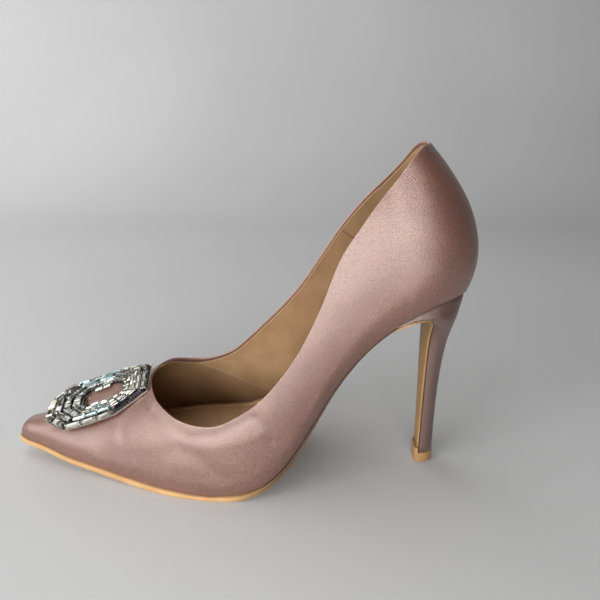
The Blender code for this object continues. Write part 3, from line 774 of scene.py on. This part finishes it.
def cupped_point(x, floor, lateral, medial, normal, share):
    """A point of the footbed's upper face, share 0 at the lateral edge and 1 at the medial edge."""
    side = "medial" if share > MEDIAL_FROM else "lateral"
    ends = (MEDIAL_FROM, 1.0) if side == "medial" else (LATERAL_TO, 0.0)
    width = medial - lateral
    slim = min(1.0, width / NARROW)
    rise = one(CUP, side, x) * slim * float(smooth_step(share, *ends)) ** CUP_POWER
    wider = one(LAST, "tuck", x) * (1 - (1 - min(1.0, rise / one(LAST, "belly", x))) ** 2) * slim
    y = lateral + width * share + (wider if side == "medial" else -wider)
    high = INSOLE_THICK + rise - (EDGE_DROP if share in (0.0, 1.0) else 0.0)
    return x + normal[0] * high, y, floor + normal[1] * high


def cupped_loop(x, floor, lateral, medial, normal):
    """A loop across the footbed: flat below, and above it curves up to both walls."""
    below = lateral + (medial - lateral) * np.linspace(0.01, 0.99, CUP_STEPS)
    row = (x, floor, lateral, medial, normal)
    above = [cupped_point(*row, share) for share in np.linspace(1, 0, CUP_STEPS + 1)]
    return [(x, y, floor) for y in below] + above


stations, turns = np.linspace(0.2, HEEL_STATION, 120), np.linspace(0, 0.995, 18)[1:]
rows = [feather_row(station, INSOLE_INSET) for station in stations]
rows += [feather_back_row(turn, INSOLE_INSET) for turn in turns]
loops = []
for row in rows:
    level = max(0.0, row[0] - LEVEL_FROM)
    loops.append(cupped_loop(*row, floor_normal(row[0] - level + LEVEL_SHARE * level)))
footbed = loft("footbed", loops, footbed_leather)
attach(footbed, "root")
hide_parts("insole")
print("footbed:", len(footbed.data.polygons), "faces")

# %% [markdown]
# ## The sole
# The sole is one thin board. It stands a little proud of the satin round the toe, hides under it
# in the waist, and runs on as a flap down the front of the heel.

# %% Measures of the sole and the heel
SOLE = table("station thick proud", (
    (0, 2.4, 0.7), (30, 2.5, 1), (110, 2.5, 1), (128, 2.3, 0.9), (138, 1.9, 0.4),
    (148, 1.5, -0.2), (160, 1.2, -0.8), (172, 1, -1.2), (184, 1, -1.2),
))
BREAST = table("along x height half back bow", (
    (184, 185.2, 77.2, 24, 91, 3.6),
    (187, 188.5, 79.5, 24.3, 89, 3),
    (191, 192.7, 81.5, 24.2, 86, 2.2),
    (195, 196.8, 82.7, 23.8, 83.2, 1.6),
    (198, 199.6, 82.9, 22.9, 80.8, 1),
    (201, 202, 81.9, 20.5, 77.2, 0.5),
    (203.5, 203.4, 79.7, 17.3, 74, 0.3),
    (207, 203.7, 76.4, 14.2, 70, 0),
    (211, 203.5, 72.4, 12.1, 66, 0),
    (218, 203.3, 65.4, 10.4, 60, 0),
    (230, 203.2, 53.4, 8.9, 49.6, 0),
    (245, 203.2, 38.4, 7.4, 36.6, 0),
    (260, 203.2, 23.4, 6.4, 22.6, 0),
    (277, 203.2, 6.4, 5.7, 6.4, 0),
))
HEEL_BACK = table("height reach", (
    (6, 211.4), (20, 211.4), (35, 211.6), (50, 212.3), (61, 213.4), (71, 214.9),
    (79, 216.7), (85, 218.5), (91, 219.9),
))
GAP = 0.3
SOLE_END, SOLE_ROUND = 184.0, 0.45
TIP_PROUD, TIP_PROUD_LENGTH = 1.0, 15.0
FLAP_THICK, FLAP_INSET, FLAP_ROUND, FLAP_BLEND = 0.9, 0.5, 0.3, 6.0
WING_START, WING_HALF, WING_BACK = 187.2, 24.5, 92.0
STRAIGHT, HEEL_END = 0.19, 277.0
WAIST_FROM, WAIST_TO, FLAP_FROM = (108, 140), (186, 192), (192, 197)
BREAST_STEPS = np.concatenate([np.linspace(187, 212, 36), np.linspace(214, 274.6, 26)])


def breast_point(along, offset):
    """A point of the sole's lower face past SOLE_END, moved inward by offset."""
    x, z = one(BREAST, "x", along), one(BREAST, "height", along)
    ahead_x = one(BREAST, "x", along + 0.3) - one(BREAST, "x", along - 0.3)
    ahead_z = one(BREAST, "height", along + 0.3) - one(BREAST, "height", along - 0.3)
    length = math.hypot(ahead_x, ahead_z)
    return x - ahead_z / length * offset, z + ahead_x / length * offset


# %% Make the sole
loops = []
for station in np.concatenate([np.linspace(0.05, 6, 12), np.linspace(7.5, SOLE_END, 118)]):
    x, floor, lateral, medial = feather_row(station, 0.0)
    deep = GAP + one(SOLE, "thick", x)
    proud = one(SOLE, "proud", x) * float(nose(x))
    start = x - TIP_PROUD * max(0.0, 1 - x / TIP_PROUD_LENGTH)
    ahead, up = floor_normal(x)
    low = (start - ahead * deep, max(0.0, floor - up * deep))
    edges = (lateral - proud, medial + proud)
    loops.append(rounded_loop(low, (start - ahead * GAP, floor - up * GAP), *edges, SOLE_ROUND))
for along in BREAST_STEPS:
    half = one(BREAST, "half", along) - FLAP_INSET
    blend = max(0.0, 1 - (along - SOLE_END) / FLAP_BLEND)
    sides = [end * (1 - blend) + edge * blend for end, edge in zip((-half, half), edges)]
    low, high = breast_point(along, 0.0), breast_point(along, FLAP_THICK)
    loops.append(rounded_loop(low, high, *sides, FLAP_ROUND))
sole = loft("sole", loops, sole_tan)


def up_the_edge(x, z):
    """0 at the sole's lower face and 1 at its upper face."""
    below = (one(LAST, "floor", x) - z) * floor_normal(x)[1] - GAP
    return 1 - below / one(SOLE, "thick", x)


# Where the sole's tan takes its painted shade, and how far up the edge each point lies.
note_on(sole, "waist", lambda x, z: smooth_step(x, *WAIST_FROM) * (1 - smooth_step(x, *WAIST_TO)))
note_on(sole, "up", up_the_edge)
note_on(sole, "flap", lambda x, z: smooth_step(x, *FLAP_FROM))
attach(sole, "root")
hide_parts("outsole")
print("sole:", len(sole.data.polygons), "faces")

# %% [markdown]
# ## The heel
# The heel is a hard core covered with the same satin, painted darker than on the upper as painted
# shade. Each level is a loop with a straight front and a round back. The first level follows the
# seat, and the next ones turn until they lie flat at the tip.

# %% Make the heel
def heel_loop(front, half, back, bow, seat=False):
    """One closed level of the heel: a straight front, short sides and a round back."""
    reach = one(HEEL_BACK, "reach", back)
    start = front[0] + (reach - front[0]) * STRAIGHT
    outline = [(x, half, x) for x in np.linspace(front[0], start, 3)]
    for turn in np.linspace(0, math.pi / 2, 15)[1:]:
        x = start + (reach - start) * math.sin(turn)
        station = start + (BACK_STATION - start) * math.sin(turn)
        outline.append((x, half * math.cos(turn), station))
    loop = []
    for sign, part in ((-1, outline), (1, outline[-2::-1])):
        for x, y, station in part:
            share = (x - front[0]) / (reach - front[0])
            z = front[1] + (back - front[1]) * share + bow * 4 * share * (1 - share)
            if seat:
                z = one(LAST, "floor", station) - GAP
            loop.append((x, sign * y, z))
    return loop + [(front[0], y, loop[0][2]) for y in np.linspace(half, -half, 9)[1:-1]]


loops = [heel_loop((WING_START, 0.0), WING_HALF, WING_BACK, 0.0, seat=True)]
for along in [*BREAST_STEPS, HEEL_END]:
    half, back, bow = (one(BREAST, name, along) for name in ("half", "back", "bow"))
    loops.append(heel_loop(breast_point(along, FLAP_THICK + GAP), half, back, bow))
heel = loft("heel_cover", loops, heel_satin_painted_shade)
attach(heel, "root")
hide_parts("heel")
print("heel_cover:", len(heel.data.polygons), "faces")

# %% [markdown]
# ## The tip
# The tip's own solid has the right shape. It keeps its mesh and only gets the plastic.

# %% Dress the tip
def dress(name, look):
    """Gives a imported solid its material."""
    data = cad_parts[name].data
    data.materials.clear()
    data.materials.append(look)


dress("top_piece", tip_plastic)

# %% [markdown]
# ## The brooch
# The brooch is an elongated octagon of foil-backed glass stones on a metal plate, with an open
# window in the middle.

# %% Metal and stones
metal, add, link = start_look("pale metal", (0.62, 0.60, 0.56), 0.24, Metallic=1.0)
link(shades(add, spots(add, 300), (0.50, 0.47, 0.42), (0.70, 0.68, 0.64)), "Base Color")
link(between(add, spots(add, 700), 0.3, 0.7, 0.16, 0.34), "Roughness")

smoke, add, link = start_look("grey metal bed", (0.20, 0.19, 0.18), 0.24, Metallic=1.0)
bed_tone = ramp(add, spots(add, 260), (0.4, (0.11, 0.105, 0.10)), (0.75, (0.27, 0.26, 0.24)))
link(bed_tone, "Base Color")


def stone_look(name, tint, shade, painted_glint, gloss=0.10):
    """Glossy foil-backed glass; its facets get painted shade and painted glints by place and stone
    number.
    """
    look, add, link = start_look(name, tint, gloss, Metallic=0.8, Coat_Weight=0.35, Coat_Roughness=0.08)
    facet = add("Attribute", out=1, settings={"attribute_name": "facet"})
    own = noted(add, "own")
    shift = add("CombineXYZ", X=own, Y=own, Z=0.0)
    moved = add("VectorMath", settings={"operation": "ADD"}, _0=facet, _1=shift)
    cells = add("TexVoronoi", settings={"distance": "CHEBYCHEV"}, out=1, Vector=moved, Scale=1.7)
    value = reckon(add, "MULTIPLY_ADD", add("SeparateColor", Color=cells), 0.62, 0.02)
    value = reckon(add, "MULTIPLY_ADD", own, 0.04, value)
    # Each facet is painted from a dark painted shade through the tint to a pale painted glint.
    link(ramp(add, value, (0.10, shade), (0.42, tint), (0.80, painted_glint)), "Base Color")
    return look


# Per stone: material name, tint, painted shade of dark facets, painted glint of bright facets, gloss.
STONES = {
    "clear": ("clear stone", (0.27, 0.285, 0.26), (0.09, 0.093, 0.083), (0.62, 0.64, 0.60)),
    "aqua": ("aqua stone", (0.22, 0.31, 0.30), (0.09, 0.13, 0.127), (0.46, 0.62, 0.61)),
    "warm": ("warm stone", (0.25, 0.243, 0.185), (0.09, 0.084, 0.06), (0.60, 0.58, 0.45), 0.12),
    "smoke": ("smoky stone", (0.155, 0.143, 0.125), (0.07, 0.063, 0.055), (0.30, 0.28, 0.25), 0.14),
    # Pale stones, which also give the near rim a painted highlight.
    "bright": ("bright edge stone", (0.54, 0.54, 0.48), (0.42, 0.42, 0.37), (0.78, 0.78, 0.72), 0.18),
    # Dark stones that stand for painted shade on the brooch's near throat side.
    "dark": ("dark edge stone", (0.050, 0.052, 0.06), (0.02, 0.02, 0.024), (0.14, 0.145, 0.16), 0.08),
}
LOOKS = {kind: stone_look(*colours) for kind, colours in STONES.items()}

# %% Dress the plate and its bed
dress("brooch_plate", metal)
dress("brooch_setting", smoke)

# %% [markdown]
# ### Cut stones
# There are over a hundred stones in two cuts, so they are made with Geometry Nodes. One unit stone
# of each cut is placed on a point cloud: every point carries the stone's size and its turn. The
# tree ends by making the copies real and giving them their material.

# %% Unit stones
def baguette_rings():
    """Corners of a step-cut stone, 1 x 1 x 1, from its bed at 0 to its table at 1."""
    rings = []
    for height, half in ((0.0, 0.40), (0.45, 0.5), (0.78, 0.43), (1.0, 0.29)):
        short = half if height < 0.5 else half - (0.5 - half) * 0.35
        corners = ((-half, -short), (half, -short), (half, short), (-half, short))
        rings.append([(x, y, height) for x, y in corners])
    return rings


def round_rings(sides=8):
    """Corners of a round brilliant, 1 across and 1 high."""
    rings = []
    for height, half, shift in ((0.0, 0.36, 0.0), (0.45, 0.5, 0.5), (0.82, 0.40, 0.0), (1.0, 0.24, 0.5)):
        turns = [2 * math.pi * (index + shift) / sides for index in range(sides)]
        rings.append([(half * math.cos(turn), half * math.sin(turn), height) for turn in turns])
    return rings


def unit_stone(name, rings, cuts):
    """A flat-faced stone. Each cut names faces by corners: a, b on the lower ring, d, c above them."""
    body = bmesh.new()
    rings = [[body.verts.new(corner) for corner in ring] for ring in rings]
    for low, high, cut in zip(rings[:-1], rings[1:], cuts):
        for index in range(len(low)):
            after = (index + 1) % len(low)
            corners = {"a": low[index], "b": low[after], "c": high[after], "d": high[index]}
            for face in cut:
                body.faces.new([corners[key] for key in face])
    body.faces.new(rings[-1])
    body.faces.new(rings[0][::-1])
    bmesh.ops.recalc_face_normals(body, faces=body.faces)
    data = bpy.data.meshes.new(name)
    body.to_mesh(data)
    body.free()
    data.shade_flat()
    facet = data.attributes.new("facet", "FLOAT_VECTOR", "CORNER")
    for corner, loop in zip(facet.data, data.loops):
        corner.vector = data.vertices[loop.vertex_index].co
    return placed(name, data)


SQUARE, STAR, CROWN = ("abcd",), ("abd", "bcd"), ("abc", "acd")
unit_baguette = unit_stone("unit_baguette", baguette_rings(), (SQUARE, SQUARE, SQUARE))
unit_round = unit_stone("unit_round", round_rings(), (STAR, CROWN, STAR))

# %% A tree that sets one cut of stone on many points
def stones_tree(name):
    """Geometry Nodes: a unit stone on every point, turned and sized by the point's attributes."""
    tree = bpy.data.node_groups.new(name, "GeometryNodeTree")
    for label, kind in (("Geometry", "Geometry"), ("Unit", "Object"), ("Look", "Material")):
        tree.interface.new_socket(label, in_out="INPUT", socket_type="NodeSocket" + kind)
    tree.interface.new_socket("Geometry", in_out="OUTPUT", socket_type="NodeSocketGeometry")
    nodes, links = tree.nodes, tree.links
    start, end = nodes.new("NodeGroupInput"), nodes.new("NodeGroupOutput")
    kinds = ("ObjectInfo", "InstanceOnPoints", "RealizeInstances", "SetMaterial")
    info, copies, real, painted = (nodes.new("GeometryNode" + kind) for kind in kinds)
    info.inputs["As Instance"].default_value = True
    links.new(start.outputs["Unit"], info.inputs["Object"])
    links.new(start.outputs["Geometry"], copies.inputs["Points"])
    links.new(info.outputs["Geometry"], copies.inputs["Instance"])
    for key, socket in (("turn", "Rotation"), ("size", "Scale")):
        attribute = nodes.new("GeometryNodeInputNamedAttribute")
        attribute.data_type = "FLOAT_VECTOR"
        attribute.inputs["Name"].default_value = key
        links.new(attribute.outputs["Attribute"], copies.inputs[socket])
    links.new(copies.outputs["Instances"], real.inputs["Geometry"])
    links.new(real.outputs["Geometry"], painted.inputs["Geometry"])
    links.new(start.outputs["Look"], painted.inputs["Material"])
    links.new(painted.outputs["Geometry"], end.inputs["Geometry"])
    return tree


# %% Set copies on points
setting = stones_tree("set stones on points")


def set_on_points(name, unit, look, points, turns, sizes, own):
    """A piece of many copies: points in mm, turns as Euler angles, sizes in mm."""
    data = bpy.data.meshes.new(name)
    data.from_pydata([tuple((np.array(point) - CENTRE) * MM) for point in points], [], [])
    for key, values in (("turn", turns), ("size", np.array(sizes) * MM)):
        layer = data.attributes.new(key, "FLOAT_VECTOR", "POINT")
        layer.data.foreach_set("vector", np.array(values, np.float32).ravel())
    layer = data.attributes.new("own", "FLOAT", "POINT")
    layer.data.foreach_set("value", np.array(own, np.float32))
    made = placed(name, data)
    modifier = made.modifiers.new("set", "NODES")
    modifier.node_group = setting
    inputs = [item for item in setting.interface.items_tree if item.in_out == "INPUT"]
    keys = {item.name: item.identifier for item in inputs}
    modifier[keys["Unit"]] = unit
    modifier[keys["Look"]] = look
    settle(made)
    made.data.materials.clear()
    made.data.materials.append(look)
    made.data.polygons.foreach_set("material_index", [0] * len(made.data.polygons))
    return made


def turn_of(way, out):
    """Euler turn of a copy whose length lies along way and whose top faces out."""
    out = np.array(out, float) / np.linalg.norm(out)
    across = np.cross(out, way)
    across /= np.linalg.norm(across)
    basis = np.stack([np.cross(across, out), across, out], axis=1)
    return tuple(Matrix(basis.tolist()).to_euler())


# %% [markdown]
# ### Where the stones sit
# On the real brooch long stones lie in rings beside the octagon's sides: thin ones on the edge, wide
# aqua ones next, pale ones at the window. The edge stones are pale as a painted highlight along the
# near side and dark as painted shade along the near throat diagonal. The two pointed ends are filled
# with smaller mixed stones, with round ones in the joints.

# %% Lay out the stones
BED = PLATE_LOW + PLATE_THICK + 0.15
BED_TOP = BED + 1.35
STONE_GAP = 0.18
DOT_RAISE, DOT_HEIGHT = 0.5, 1.2
long_stones = {kind: [] for kind in LOOKS}
round_stones = {"clear": [], "warm": []}


def ring(side, inner, outer, count, kinds, low, height, lean=0.0):
    """Stones of one ring beside one side of the octagon."""
    outside, inside = np.array(octagon(outer)), np.array(octagon(inner))
    start, end = ((outside + inside) / 2)[[side, (side + 1) % 8]]
    length = np.linalg.norm(end - start)
    way = (end - start) / length
    width = abs((outside[side] - inside[side]) @ np.array([way[1], -way[0]]))
    step = length / count
    for index in range(count):
        middle = start + way * step * (index + 0.5)
        measures = (step - STONE_GAP, width - STONE_GAP, height)
        stone = (*middle, low, *measures, math.atan2(way[1], way[0]), lean)
        long_stones[kinds[index % len(kinds)]].append(stone)


def dots(side, share, places, size, kind="clear"):
    """Round stones beside one side, at shares of its length."""
    corners = np.array(octagon(share))
    start, end = corners[side], corners[(side + 1) % 8]
    for place in places:
        spot = start + (end - start) * place
        round_stones[kind].append((*spot, BED_TOP + DOT_RAISE, size, size, DOT_HEIGHT, 0.0, 0.0))


# %% Fill the octagon
# sides: 0 throat end, 1 far throat diagonal, 2 far side, 3 far toe diagonal,
# 4 toe end, 5 near toe diagonal, 6 near side, 7 near throat diagonal
for side, count, kinds, lean in (
    # Near side's rim: pale stones as a painted highlight along the lit edge.
    (6, 3, ("bright",), -0.42),
    # Near throat diagonal's rim: dark stones as painted shade on the side facing away from the light.
    (7, 2, ("dark",), -0.55),
    (0, 3, ("smoke",), -0.25),
    (5, 3, ("smoke", "clear", "warm"), -0.2),
    (4, 2, ("warm",), -0.1),
    (3, 2, ("smoke", "clear"), 0.0),
    (2, 3, ("aqua", "clear", "aqua"), 0.0),
    (1, 3, ("clear", "warm"), 0.0),
):
    ring(side, 0.85, 0.985, count, kinds, BED, 2.0, lean)

for side, inner, outer, count, kinds, height in (
    (6, 0.625, 0.835, 3, ("clear", "aqua", "aqua"), 1.4),
    (6, 0.515, 0.61, 2, ("bright", "clear"), 1.3),
    (6, 0.41, 0.50, 3, ("bright", "aqua", "bright"), 1.2),
    (2, 0.60, 0.835, 2, ("aqua",), 1.4),
    (2, 0.50, 0.585, 3, ("bright", "clear", "bright"), 1.2),
    (2, 0.41, 0.485, 2, ("clear", "smoke"), 1.1),
    (2, 0.25, 0.395, 2, ("clear", "bright"), 1.0),
    (6, 0.29, 0.395, 2, ("bright", "clear"), 1.0),
):
    ring(side, inner, outer, count, kinds, BED_TOP, height)

for side in (3, 4, 5):
    ring(side, 0.72, 0.835, 2, ("smoke", "clear"), BED_TOP, 1.35)
    ring(side, 0.575, 0.70, 2, ("clear", "smoke", "clear")[side - 3 :], BED_TOP, 1.35)
    ring(side, 0.42, 0.555, 2, ("smoke", "clear"), BED_TOP, 1.25)
    dots(side, 0.64, (0.0,), 1.9)
    dots(side, 0.78, (0.0, 0.5), 1.7, "warm" if side == 4 else "clear")
dots(4, 0.49, (0.0, 1.0), 1.7)

for side in (0, 1, 7):
    for level in range(5):
        inner = 0.42 + 0.084 * level
        kinds = ("smoke" if side == 7 else "warm", "clear", "smoke")[level % 2 :]
        ring(side, inner, inner + 0.078, 3, kinds, BED_TOP, 1.2 + 0.12 * (level % 2))
dots(6, 0.57, (0.35, 0.68), 1.6)
dots(2, 0.54, (0.33, 0.6), 2.0)
dots(6, 0.73, (0.34, 0.67), 1.3)


# %% Set the stones
chance = np.random.default_rng(7)
TILT_ALONG, TILT_ACROSS, FACET_SHIFTS = 0.05, 0.06, 8


def set_stones(name, stones, unit, look):
    """Turns stones from the brooch's own directions into the shoe's, and sets them."""
    points, turns, sizes, own = [], [], [], []
    for u, v, w, length, width, height, turn, lean in stones:
        along = brooch_along + brooch_out * (2 * BEND * u / BEND_LENGTH**2)
        along /= np.linalg.norm(along)
        face = np.cross(along, brooch_across)
        way = along * math.cos(turn) + brooch_across * math.sin(turn)
        out = face + way * chance.normal(0, TILT_ALONG)
        out += np.cross(face, way) * (lean + chance.normal(0, TILT_ACROSS))
        points.append(brooch_point(u, v, w))
        turns.append(turn_of(way, out))
        sizes.append((length, width, height))
        own.append(chance.uniform(0, FACET_SHIFTS))
    made = set_on_points(name, unit, look, points, turns, sizes, own)
    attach(made, "root")
    print(name + ":", len(stones))
    return made


for kind, stones in long_stones.items():
    made = set_stones("stones_" + kind, stones, unit_baguette, LOOKS[kind])
    if kind == "bright":
        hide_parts(*["rim_stone_" + str(index + 1) for index in range(8)])
for kind, stones in round_stones.items():
    set_stones("round_stones_" + kind, stones, unit_round, LOOKS[kind])

# %% [markdown]
# ## Stitches
# Two seams show inside: a row of short stitches that follows the footbed's edge in the arch, and a
# zigzag that holds the counter's lining. The same tree sets them. The footbed's row follows its own
# formula, and the zigzag's points are found by looking sideways at the lining from the middle.

# %% Stitches along the footbed's edge
STITCH_STEP, STITCH_INSET = 1.65, 4.9
SEAM_START, SEAM_END, SEAM_LEAN = 72.0, 136.0, {"medial": -0.35, "lateral": 0.25}
ZIGZAG_START, ZIGZAG_END, ZIGZAG_STEP = 164.2, 189.0, 0.92
ZIGZAG_HEIGHT, ZIGZAG_FALL, ZIGZAG_LEAN = 113.4, 0.83, 0.75


def sewn(name, seam, size, thread):
    """A seam of stitches, each with its place, its direction and the way it faces."""
    points = [point for point, way, out in seam]
    turns = [turn_of(way, out) for point, way, out in seam]
    sizes, own = [size] * len(seam), [0.0] * len(seam)
    made = set_on_points(name, unit_round, thread, points, turns, sizes, own)
    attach(made, "root")
    print(name + ":", len(seam))


def footbed_seam(x, side):
    """A place on the footbed, STITCH_INSET from its edge."""
    x, floor, lateral, medial = feather_row(x, INSOLE_INSET)
    share = STITCH_INSET / (medial - lateral)
    share = 1 - share if side == "medial" else share
    return np.array(cupped_point(x, floor, lateral, medial, floor_normal(x), share))


seam = []
for side in ("medial", "lateral"):
    x = SEAM_START
    while x < SEAM_END:
        here, ahead = footbed_seam(x, side), footbed_seam(x + 0.5, side)
        way = (ahead - here) / np.linalg.norm(ahead - here)
        seam.append((here, way, np.cross(way, [0.0, 1.0, SEAM_LEAN[side]])))
        x += STITCH_STEP * way[0]
sewn("footbed_stitches", seam, (1.15, 0.7, 0.9), pale_thread)

# %% Zigzag on the counter's lining
wall = BVHTree.FromObject(lining, bpy.context.evaluated_depsgraph_get())
line = np.array([1.0, 0.0, -ZIGZAG_FALL])
seam = []
for sign in (1.0, -1.0):
    for index, x in enumerate(np.arange(ZIGZAG_START, ZIGZAG_END, ZIGZAG_STEP)):
        z = ZIGZAG_HEIGHT - ZIGZAG_FALL * (x - ZIGZAG_START)
        start = Vector(((x - CENTRE[0]) * MM, 0.0, z * MM))
        spot, facing = wall.ray_cast(start, Vector((0.0, sign, 0.0)))[:2]
        if spot is None:
            continue
        facing = np.array(facing)
        lean = ZIGZAG_LEAN if index % 2 else -ZIGZAG_LEAN
        seam.append((np.array(spot) / MM + CENTRE, line + lean * np.cross(facing, line), facing))
sewn("counter_stitches", seam, (1.7, 0.36, 0.4), brown_thread)

# %% Clear the unit stones away
for unit in (unit_baguette, unit_round):
    bpy.data.objects.remove(unit, do_unlink=True)

# %% [markdown]
# ## Floor, light and camera
# The shoe stands on a plain pale floor that curves up into the wall. The main light is a large soft
# box like a window, in front to the left. It gives the satin its gloss and leaves the heel's back in
# shade. A low box and three weak ones lighten the shadows, and the sky adds very little. The camera
# stands where the photograph was taken, a little above the shoe.

# %% Floor and light
floor_look, add, link = start_look("pale floor", (0.55, 0.55, 0.55), 0.6)
tone = ramp(add, spots(add, 3.0), (0.3, (0.53, 0.53, 0.53)), (0.7, (0.57, 0.57, 0.57)))
link(tone, "Base Color")
SWEEP_NEAR, SWEEP_START, SWEEP_ROUND = -4.0, 0.55, 0.5
SWEEP_HEIGHT, SWEEP_SIDE = 2.2, 4.0
profile = [(SWEEP_NEAR, 0.0), (SWEEP_START, 0.0)]
for turn in np.linspace(0, math.pi / 2, 25)[1:]:
    y = SWEEP_START + SWEEP_ROUND * math.sin(turn)
    profile.append((y, SWEEP_ROUND * (1 - math.cos(turn))))
profile.append((SWEEP_START + SWEEP_ROUND, SWEEP_HEIGHT))
sweep = bmesh.new()
rows = [[sweep.verts.new((x, y, z)) for x in (-SWEEP_SIDE, SWEEP_SIDE)] for y, z in profile]
for near, far in zip(rows[:-1], rows[1:]):
    sweep.faces.new([near[0], near[1], far[1], far[0]])
floor_piece = piece_from(sweep, "floor", floor_look)

world = bpy.data.worlds.new("soft room")
bpy.context.scene.world = world
world.use_nodes = True
sky = world.node_tree.nodes["Background"]
sky.inputs["Color"].default_value = (0.62, 0.63, 0.62, 1)
sky.inputs["Strength"].default_value = 0.05

AIM = Vector((0.02, 0.0, 0.07))
for name, place, size, power in (
    ("window", (-1.10, -0.95, 0.52), (1.0, 0.8), 16.6),
    ("left", (-1.35, -0.25, 0.58), (1.2, 0.9), 4.0),
    ("low", (-0.08, -0.78, 0.20), (0.75, 0.28), 6.6),
    ("ceiling", (-0.30, 0.10, 1.20), (0.9, 0.9), 4.4),
    ("behind", (-0.65, 0.85, 0.60), (1.0, 0.8), 3.6),
):
    data = bpy.data.lights.new(name, "AREA")
    data.shape = "RECTANGLE"
    data.size, data.size_y = size
    data.energy = power
    lamp = placed(name, data)
    lamp.location = place
    lamp.visible_camera = False
    lamp.rotation_euler = (AIM - Vector(place)).to_track_quat("-Z", "Y").to_euler()

bpy.context.scene.view_settings.view_transform = "Standard"

# %% Camera at the photograph's place
lens = bpy.data.cameras.new("camera")
lens.lens = 36.0
lens.sensor_width = 36.0
camera = placed("camera", lens)
camera.location = (0.0420, -0.26415, 0.180)
camera.rotation_euler = (math.radians(70.29), 0.0, math.radians(2.0))
bpy.context.scene.camera = camera
